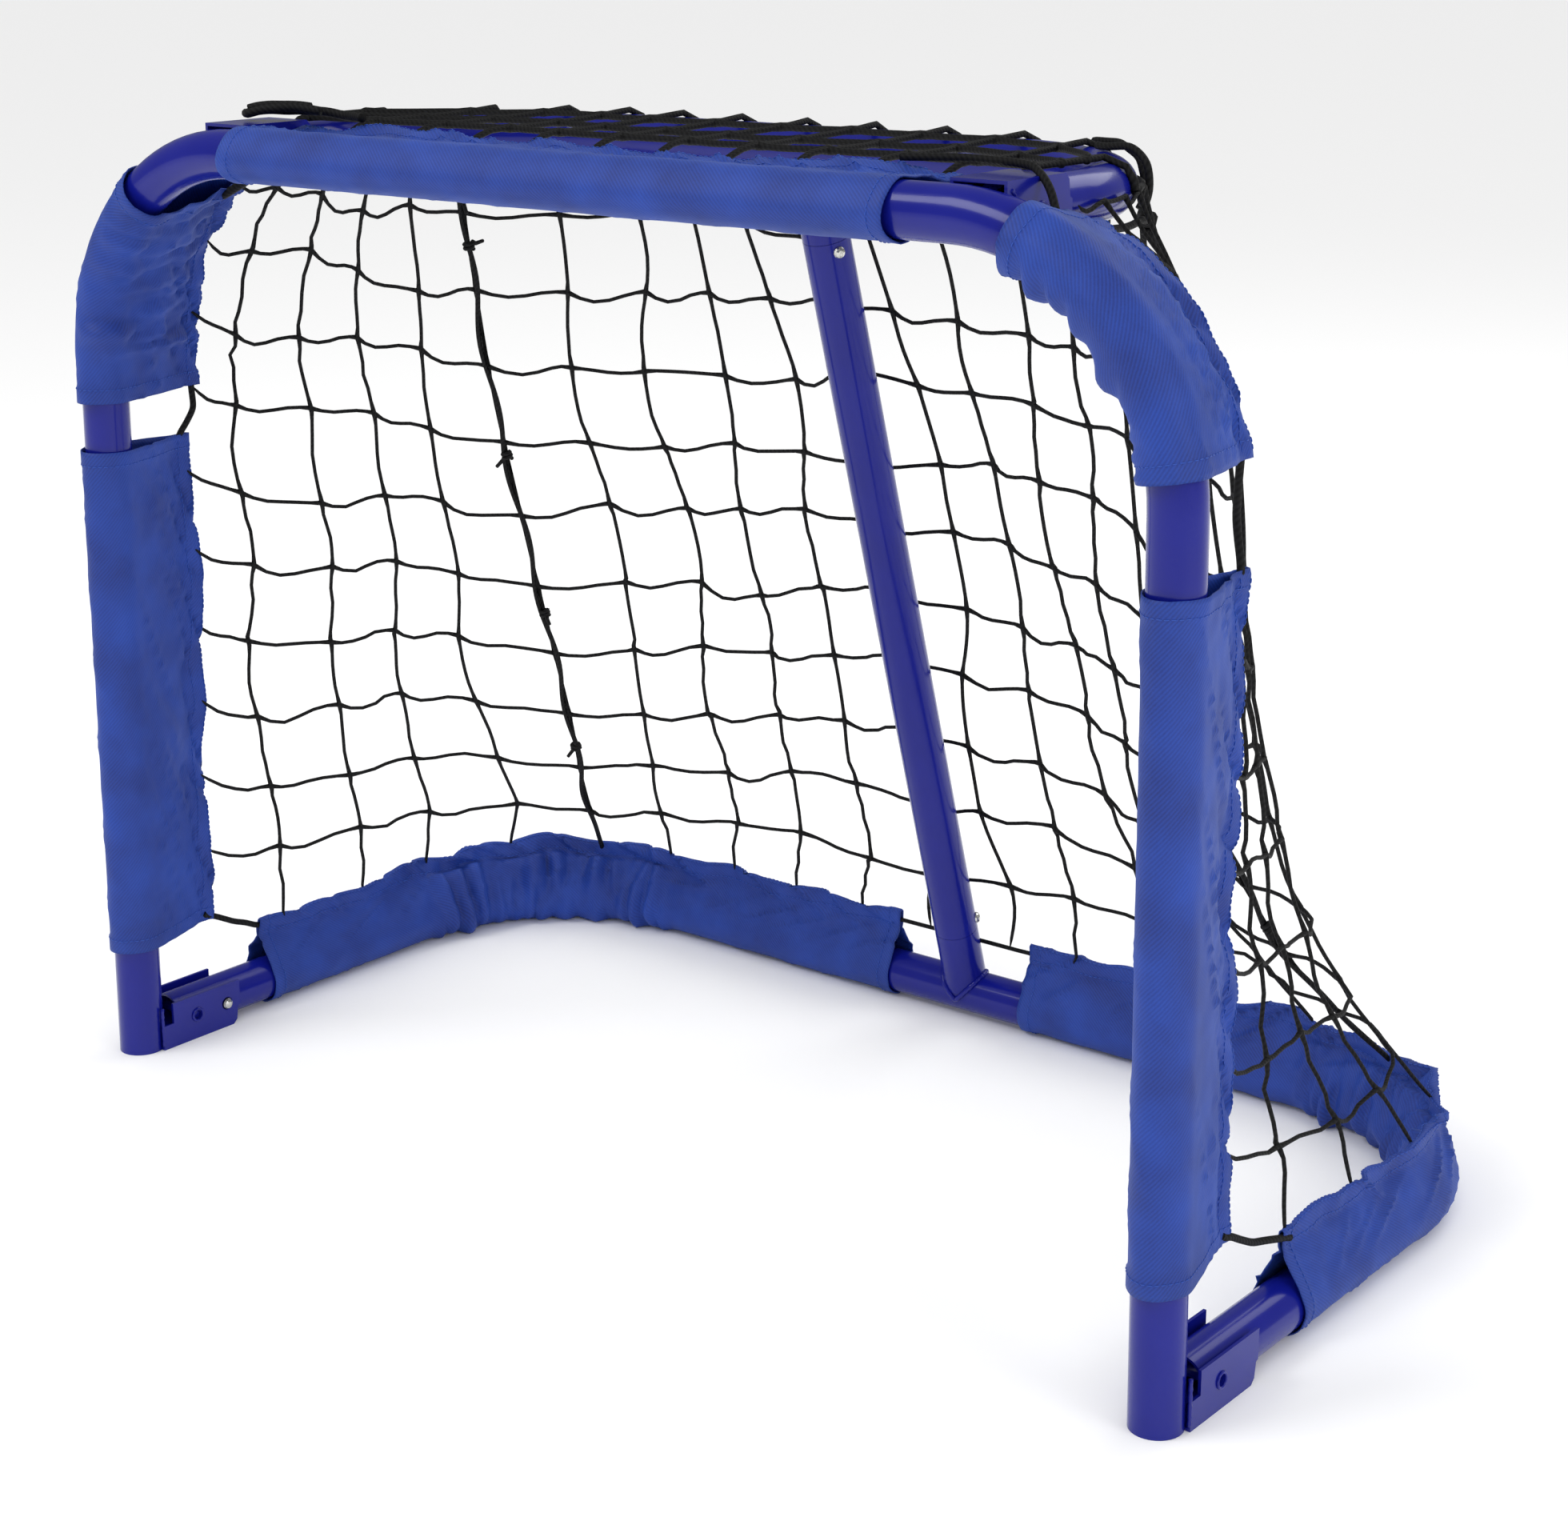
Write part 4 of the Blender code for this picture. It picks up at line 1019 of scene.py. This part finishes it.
# %% [markdown]
# A side panel has its near edge in the post's and corner's flaps, its foot in the base sleeve's
# flap and its head on the top frame's arm. The four edges are filled in as a Coons patch: what they
# give across, plus what they give upwards, less what the corners give twice.

# %% Side panels
SIDE_CELLS = (5, 11)
FOOT_POINTS = 40


def side_surface(label):
    turned = flip(label)
    mouth_s = base_hem.find(lambda p: p.y > POST_Y + MOUTH[label] * MM)
    top_start = top_hem.find(lambda p: p.y > POST_Y + POST_FLAP)
    upright = [turned(p) for p in FLAP_LINES[f"post_cloth_{label}"] + FLAP_LINES[f"corner_cloth_{label}"]]
    edge = Track([*upright, top_hem.at(top_start)])
    step = (seam_foot - mouth_s) / FOOT_POINTS
    along_base = [base_hem.at(mouth_s + step * k) for k in range(FOOT_POINTS + 1)]
    hem = Track([upright[0], *[turned(into_flap(turned(p), f"base_cloth_{label}")) for p in along_base]])
    whole = patch(lambda u: hem.at(hem.length * u),
                  lambda u: top_hem.at(top_start + (seam_top - top_start) * u),
                  lambda v: edge.at(edge.length * v),
                  lambda v: along_seam(label, v))
    return lambda u, v: turned(whole(u, v))


for label, seed in (("left", 11.0), ("right", 19.0)):
    lines = panel(*SIDE_CELLS, side_surface(label), seed, columns_from=1, rows_from=1)
    net = cords(f"side_net_{label}", lines, CORD_R, "front")
    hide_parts(f"net_{label}")
print("side panels", SIDE_CELLS, "cells")

# %% [markdown]
# The top panel is of thicker cord. It starts under the crossbar sleeve's flap, lies over the top
# frame and turns down behind its tube. It was pulled askew, so its middle leans to the left.

# %% Top panel
TOP_CORD_R = 2.1 * MM
TOP_CELLS = (11, 4)
TOP_SKEW = -30 * MM
TOP_WIDE = TOP_HALF * 0.97
TOP_SAG = 2.5 * MM
TOP_TUCK = 11 * MM  # how far the front edge dips, to go under the flap
TUCK_SHARE = 0.22
TURN_SHARE = 0.08  # how much of the panel goes down round the tube
OVER = TUBE_R + TOP_CORD_R
TOP_START_Y = POST_Y + CROSSBAR_FLAP - 9 * MM


def top_surface(u, v):
    stretch = v * (1 + TURN_SHARE)
    run = min(1.0, stretch)
    x = TOP_WIDE * (2 * u - 1) + TOP_SKEW * math.sin(u * math.pi) * run
    into = max(0.0, abs(x) - (TOP_HALF - TOP_BEND)) / TOP_BEND
    outward_way = Vector((math.copysign(into, x), math.sqrt(1 - into**2), 0))
    end_y = TOP_Y - TOP_BEND * (1 - outward_way.y)
    turn = max(0.0, stretch - 1.0) / TURN_SHARE * math.pi / 2
    z = CROSSBAR_Z + OVER + 1 * MM - TOP_SAG * math.sin(math.pi * run) * (1 - abs(2 * u - 1) ** 6)
    z -= TOP_TUCK * (1 - smooth(run / TUCK_SHARE))
    at = Vector((x, TOP_START_Y + (end_y - TOP_START_Y) * run, z - (1 - math.cos(turn)) * OVER))
    return at + outward_way * math.sin(turn) * OVER


lines = panel(*TOP_CELLS, top_surface, 41.0, askew=0.12, sag=0.4 * MM)
net_top = cords("top_net", lines, TOP_CORD_R, "top", sides=9)
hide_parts("net_top")
print("top panel", TOP_CELLS, "cells")

# %% [markdown]
# ## Ropes
# One rope runs round the whole net as its border. It is threaded through the sleeves' flaps, and
# shows wherever there is a gap between two sleeves. At the rear corners a lacing cord draws the
# panels together, and its knots and cut ends were left hanging.
#
# Each rope is a smooth line through a few points with a little noise. A knot is two close turns of
# cord and a cut end, since a true knot's crossings would be too small to see.


# %% Ropes, knots and the rear corners' lacing
ROPE_R = 2.3 * MM
LACING_R = 1.9 * MM
ROPE_SIDES = 9
KNOT_TURNS = 2
KNOT_POINTS = 32
LACING_STEP = 6 * MM
LACING_SWING = 3.5 * MM
LACING_STITCH = 0.052
LACING_KNOTS = (  # share of the corner's height, where the cut end points in mm
    (0.93, (9, -4, -12)), (0.87, (16, -2, 5)), (0.62, (-8, -3, -9)), (0.42, (7, -2, -8)),
    (0.22, (-6, -3, -9)),
)


def rope(points, loose, seed, tucked=False):
    """A tucked rope's two end stretches lie inside flaps, where the rope is pressed thin."""
    line = []
    last = SPLINE_STEPS * (len(points) - 1)
    for k, p in enumerate(spline(points)):
        shift = Vector([noise.noise(Vector((k / SPLINE_STEPS * 1.3, axis * 7, seed))) for axis in range(3)])
        inside = tucked and min(k, last - k) < SPLINE_STEPS - 1
        line.append((p, 0.4) if inside else (p + shift * loose, 1.0))
    return line


def knot(at, way, size, tail=None):
    """Two turns of cord round a cord, and the cut end that is left over."""
    way = way.normalized()
    side = way.orthogonal().normalized()
    other = way.cross(side)
    line = []
    for k in range(KNOT_POINTS + 1):
        t = 2 * math.pi * KNOT_TURNS * k / KNOT_POINTS
        along_way = way * size * (2 * k / KNOT_POINTS - 1)
        line.append((at + (side * math.cos(t) + other * math.sin(t)) * size + along_way, 0.8))
    if tail:
        line.append((at + tail * 0.5, 0.8))
        line.append((at + tail, 0.7))
    return line


for label, seam in SEAMS.items():
    turned = flip(label)
    line = []
    steps = round(seam.length / LACING_STEP)
    for k in range(steps + 1):
        s = seam.length * k / steps
        ease = smooth(6 * min(s, seam.length - s) / seam.length)
        swing = LACING_SWING * math.sin(s * math.pi / LACING_STITCH) * ease
        line.append((turned(seam.at(s) + Vector((swing, -1 * MM, 0))), 1.0))
    knots = []
    for share, tail in LACING_KNOTS:
        s = seam.length * share
        knots.append(knot(turned(seam.at(s)), turned(seam.way(s)), 3 * MM, turned(Vector(tail)) * MM))
    lacing = cords(f"corner_cord_{label}", [line, *knots], LACING_R, "front", ROPE_SIDES)
    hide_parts(f"seam_cord_{label}")
print("lacing knots", len(LACING_KNOTS), "a side")

# %% [markdown]
# The border is seen in five gaps: between the sleeves of each post, between each post and its base
# sleeve, and at the strut's foot.

# %% The border rope in the gaps
SIDES = (("left", -1), ("right", 1))
for label, side in SIDES:
    below = FLAP_LINES[f"post_cloth_{label}"][-4:]
    above = FLAP_LINES[f"corner_cloth_{label}"][:4]
    middle = (below[-1] + above[0]) / 2 + Vector((4 * MM * -side, 3 * MM, 0))
    line = rope([below[0], below[-1], middle, above[0], above[-1]], 1.5 * MM, side * 5.0, tucked=True)
    edge = cords(f"edge_rope_{label}", [line], ROPE_R, "front", ROPE_SIDES)
    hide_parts(f"edge_cord_{label}")

for label, side in SIDES:
    low = FOOT_GAP[label]
    mouth = MOUTH[label]
    y = POST_FLAP / MM
    line = rope(from_posts(
        (side * 434, y - 8, low + 6), (side * 434, y + 2, low + 1), (side * 433, (y + mouth) / 2, 72),
        (side * 434, mouth - 2, 63), (side * 434, mouth + 10, 59)), 1.5 * MM, side * 8.0)
    border = cords(f"border_rope_{label}", [line], ROPE_R, "front", ROPE_SIDES)
    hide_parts(f"border_cord_{label}")

left_end = FLAP_LINES["base_cloth_left"]
right_end = FLAP_LINES["base_cloth_right"]
gap_line = [left_end[-3], left_end[-1], low_back(5 / BACK_CELLS[0]), low_back(6 / BACK_CELLS[0]),
            right_end[-1], right_end[-3]]
cords("border_rope_strut", [rope(gap_line, 0.3 * MM, 9.0, tucked=True)], CORD_R * 1.2, "base", ROPE_SIDES)
print("border ropes in the gaps", 5)

# %% [markdown]
# At the top right corner the rope crosses from the crossbar to the folding frame, passes round its
# tube and is knotted below. At the top left it is doubled back on itself over the bracket.

# %% The border rope at the top corners
right_top = [
    rope(from_posts((214, 50, 680), (250, 56, 681), (284, 52, 681), (306, 44, 680), (322, 34, 672),
                    (334, 26, 656)), 1 * MM, 3.0),
    rope(from_posts((222, 234, 676), (246, 220, 677), (267, 209, 672), (278, 202, 658), (279, 195, 643)),
         1 * MM, 4.0),
    rope(from_posts((245, 201, 677), (273, 190, 678), (289, 183, 672), (293, 182, 658), (287, 186, 644),
                    (280, 194, 639)), 1 * MM, 5.0),
    rope(from_posts((318, 76, 640), (313, 105, 640), (304, 147, 640), (293, 175, 639), (283, 196, 637)),
         1.5 * MM, 6.0),
    knot(*from_posts((283, 197, 637)), Vector((0.2, 1, -0.3)), 3.4 * MM, Vector((5, 2, -15)) * MM),
    knot(*from_posts((282, 200, 630)), Vector((0.1, 0.3, -1)), 3.0 * MM),
]
cords("border_top_right", right_top, ROPE_R, "top", ROPE_SIDES)
left_top = [
    rope(from_posts((-214, 50, 681), (-236, 58, 681), (-258, 56, 683), (-280, 50, 683), (-298, 44, 683),
                    (-308, 36, 681), (-298, 30, 682), (-284, 34, 685), (-268, 42, 686), (-250, 48, 684)),
         0.5 * MM, 13.0),
    rope(from_posts((-262, 50, 686), (-280, 44, 687), (-296, 38, 686), (-304, 34, 684)), 0.5 * MM, 14.0),
    rope(from_posts((-316, 66, 652), (-326, 62, 640), (-346, 66, 632), (-374, 66, 620)), 1.5 * MM, 15.0),
]
cords("border_top_left", left_top, ROPE_R * 1.3, "front", ROPE_SIDES)
print("ropes at the top", len(right_top), "right and", len(left_top), "left")

# %% [markdown]
# On the real goal the net hangs slack when the frames are folded against the posts. Here its
# panels and their cords only get meshes of their own.

# %% Meshes of their own for the net's pieces
SLACK = ("back_net", "side_net", "corner_cord", "border_rope_left", "border_rope_right")
for piece in list(bpy.data.objects):
    if piece.name.startswith(SLACK):
        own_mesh(piece)

# %% [markdown]
# ## Welds and rivets
# The stubs and brackets are welded on and painted over, so each weld is a low rippled bead of the
# same blue, drawn as a cord whose thickness ripples. Round a stub it rises and falls with the tube
# below. The pivot pins are hollow rivets whose ends are rolled over outside the bracket.


# %% Weld beads
STUB_BEAD_R = 1.9 * MM
STUB_BEAD_POINTS = 72
BRACKET_BEAD_R = 1.3 * MM
BRACKET_BEAD_POINTS = 14
BEAD_STAND = 0.4 * MM


def bead(name, points, radius, body, closed=False):
    line = []
    for k, p in enumerate(points):
        line.append((p, 1 + 0.16 * math.sin(k * 2.4) + 0.10 * noise.noise(Vector(p) * 400)))
    if closed:
        line.append(line[0])
    return cords(name, [line], radius, body, sides=8, finish=enamel)


def side_name(label, side, wall):
    return f"{label}_{'left' if side < 0 else 'right'}_{'outer' if wall == side else 'inner'}"


ACROSS = Vector((1, 0, 0))
for label, middle, way, body in (("base", foot, strut_way, "base"), ("top", head, -strut_way, "top")):
    third = way.cross(ACROSS)
    points = []
    for k in range(STUB_BEAD_POINTS):
        t = 2 * math.pi * k / STUB_BEAD_POINTS
        rise = TUBE_R * abs(math.cos(t)) + 0.6 * MM
        out = (ACROSS * math.cos(t) + third * math.sin(t)) * (TUBE_R + BEAD_STAND)
        points.append(middle + out + way * rise)
    bead(f"{label}_stub_weld", points, STUB_BEAD_R, body, closed=True)

BRACKETS = (  # half a pair's distance, the joint's foot and head, half a bracket's width, the pin's height
    ("foot", HALF, 3 * MM, 32 * MM, 17.3 * MM, BASE_Z),
    ("top", TOP_HALF, 645 * MM, 671 * MM, 18.0 * MM, CROSSBAR_Z),
)
WALLS = [(side, wall) for side in (-1, 1) for wall in (-1, 1)]
for label, spacing, z0, z1, half_width, _ in BRACKETS:
    for side, wall in WALLS:
        points = []
        for k in range(BRACKET_BEAD_POINTS + 1):
            z = z0 + (z1 - z0) * k / BRACKET_BEAD_POINTS
            y = POST_Y + 6.5 * MM
            if label == "top":  # these stand behind the crossbar, whose side is round
                y = POST_Y + math.sqrt(max(TUBE_R**2 - (z - CROSSBAR_Z) ** 2, 9e-6)) + 0.8 * MM
            points.append(Vector((side * spacing + wall * half_width, y, z)))
        bead(side_name(f"{label}_weld", side, wall), points, BRACKET_BEAD_R, "front")
print("weld beads", 2 + len(BRACKETS) * len(WALLS))

# %% Rolled rivet ends
RIVET_OUT = 18.6 * MM
for label, spacing, *_, z in BRACKETS:
    for side, wall in WALLS:
        bpy.ops.object.select_all(action="DESELECT")
        at = (side * spacing + wall * RIVET_OUT, FOLD_Y, z)
        bpy.ops.mesh.primitive_torus_add(major_radius=4.6 * MM, minor_radius=1.0 * MM, major_segments=28,
                                         minor_segments=8, location=at, rotation=(0, math.pi / 2, 0))
        finish_mesh(side_name(f"{label}_rivet", side, wall), enamel, "front", angle=0)
        bpy.context.object.data.shade_smooth()
print("rivet ends", len(BRACKETS) * len(WALLS))
